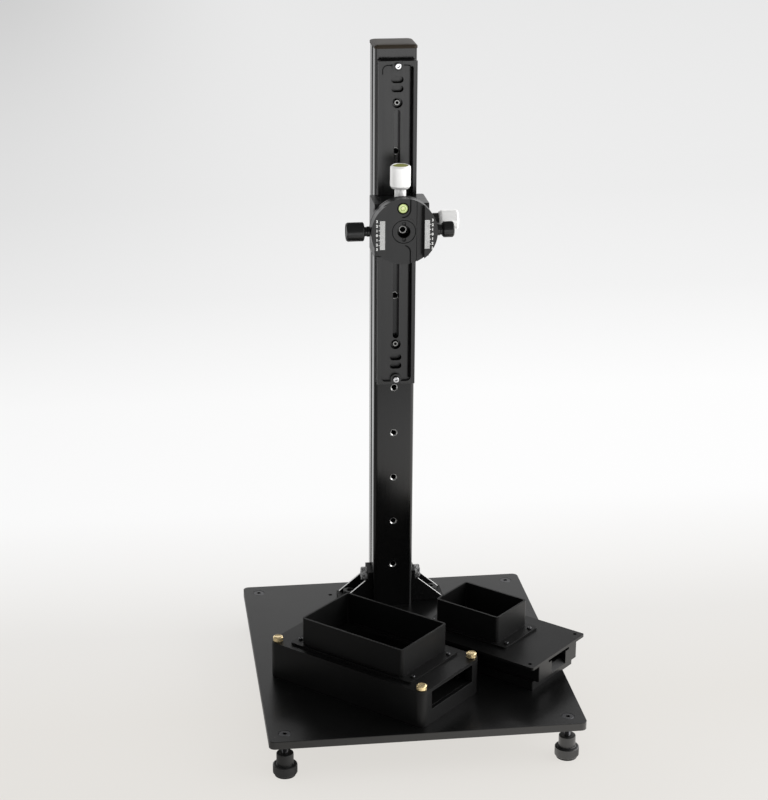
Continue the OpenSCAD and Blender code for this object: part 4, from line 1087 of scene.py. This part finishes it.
def floor_finish():
    """A pale floor: a glowing colour with painted light and shade, to the eye and in reflections, with a
    faint soft shadow.

    Glossy faces near the stand see it darker on the left and brighter on the right.
    """
    finish = Finish("floor_white")
    finish.tree.nodes.remove(finish.shader)
    along = finish.split(finish.place(), "Y")
    side = finish.split(finish.place(), "X")
    span = FLOOR_TO - FLOOR_FROM
    share = (along - FLOOR_FROM) * (1 / span)
    stops = [((y - FLOOR_FROM) / span, grey(level, warmth)) for y, level, warmth in FLOOR_LEVELS]
    tone = finish.node("ValToRGB", {"stops": stops}, {"Fac": share})
    far = finish.fade(along, 0.3, 2.2, 0.0, 0.25) + finish.fade(along, 1.5, 5.5, 0.0, 0.35)
    # Painted shade: the floor is darker on its left, more so far behind the stand.
    left = finish.fade(side, 0.3, -0.8)
    tone = finish.blend(left * (far + LEFT_DULL), tone, grey(0.45))
    # A painted pool of light: the floor is lighter in front of the stand, on its right.
    near = finish.fade(side, 0.1, 0.6) * finish.fade(along, 0.0, -0.45)
    tone = finish.blend(near * 0.5, tone, grey(1.0))
    strength = finish.fade(along, FRONT_GLOW_FROM, FRONT_GLOW_TO, 1.0, FRONT_GLOW)
    close = finish.fade(along, -0.9, -0.5) * finish.fade(along, 0.8, 0.4) * finish.rays("Glossy")
    uneven = finish.fade(side, -0.25, 0.25, LEFT_SHARE, RIGHT_SHARE) - 1.0
    strength = strength * (1 + close * uneven)
    glow = finish.node("Emission", {}, {"Color": tone, "Strength": strength})
    matt = finish.node("BsdfDiffuse", {}, {"Color": grey(0.80)})
    seen = finish.rays("Camera", "Glossy", "Transmission")
    surface = finish.node("MixShader", {}, {0: seen * GLOW_SHARE, 1: matt, 2: glow})
    finish.join(surface, finish.tree.nodes["Material Output"].inputs["Surface"])
    return finish.material


def make_floor():
    shape = bmesh.new()
    bmesh.ops.create_grid(shape, x_segments=1, y_segments=1, size=FLOOR_SIZE / 2)
    bmesh.ops.translate(shape, verts=shape.verts, vec=(0, 0, FLOOR_Z))
    mesh = bpy.data.meshes.new("floor")
    shape.to_mesh(mesh)
    shape.free()
    floor = bpy.data.objects.new("floor", mesh)
    bpy.context.scene.collection.objects.link(floor)
    mesh.materials.append(floor_finish())


ROOM = 0.13
BACKDROP = 1.05
RIGHT_WINDOW = 2.1
FILL = 0.66
SKY_TO_EYE = 0.90


def make_world():
    """A studio that is dim in front, with a pale backdrop and a broad light on the right.

    Matt faces get extra fill light, and the camera sees an even sky.
    """
    world = bpy.data.worlds.new("studio")
    world.use_nodes = True
    studio = Graph(world.node_tree)
    ray = studio.node("TexCoord", {}, {}, "Generated")
    right, back, up = (studio.split(ray, direction) for direction in "XYZ")
    backdrop = studio.fade(back, 0.1, 0.7) * studio.fade(up, 0.487, 0.418)
    window = studio.fade(right, 0.35, 0.85) * studio.fade(up, 0.9, 0.5)
    level = backdrop * BACKDROP + window * RIGHT_WINDOW + ROOM
    plain = studio.rays("Diffuse")
    level = level + plain * FILL
    eye = studio.rays("Camera")
    level = level * (1 - eye) + eye * SKY_TO_EYE
    studio.join(level, world.node_tree.nodes["Background"].inputs["Strength"])
    world.node_tree.nodes["Background"].inputs["Color"].default_value = grey(1.0)
    bpy.context.scene.world = world


def soft_lamp(name, place, aim, size, power):
    """A large flat lamp, size metres square."""
    light = bpy.data.lights.new(name, "AREA")
    light.size = size
    light.energy = power
    lamp = bpy.data.objects.new(name, light)
    bpy.context.scene.collection.objects.link(lamp)
    lamp.location = place
    lamp.rotation_euler = (Vector(aim) - Vector(place)).to_track_quat("-Z", "Y").to_euler()


# The photograph's viewpoint: place, direction of aim, and lens in pixels of the picture
CAMERA_PLACE = Vector((-0.278209, -1.860310, 0.935810))
CAMERA_YAW = 0.13697
CAMERA_DOWN = 0.33866
CAMERA_ROLL = 0.00508
CAMERA_LENS_PX = 2025.783
PICTURE_HEIGHT_PX = 800
SENSOR_MM = 36.0


def make_camera():
    ahead = Vector((
        math.sin(CAMERA_YAW) * math.cos(CAMERA_DOWN),
        math.cos(CAMERA_YAW) * math.cos(CAMERA_DOWN),
        -math.sin(CAMERA_DOWN),
    ))
    level = Vector((math.cos(CAMERA_YAW), -math.sin(CAMERA_YAW), 0))
    roll = Matrix.Rotation(-CAMERA_ROLL, 3, ahead)
    right = roll @ level
    up = right.cross(ahead)
    data = bpy.data.cameras.new("camera")
    data.sensor_width = SENSOR_MM
    data.lens = CAMERA_LENS_PX * SENSOR_MM / PICTURE_HEIGHT_PX
    camera = bpy.data.objects.new("camera", data)
    bpy.context.scene.collection.objects.link(camera)
    turn = Matrix((right, up, -ahead)).transposed().to_4x4()
    camera.matrix_world = Matrix.Translation(CAMERA_PLACE) @ turn
    bpy.context.scene.camera = camera


make_floor()
make_world()
soft_lamp("right_lamp", place=(2.4, -0.6, 1.5), aim=(0, 0, 0.3), size=1.4, power=18)
make_camera()
bpy.context.scene.view_settings.view_transform = "Standard"
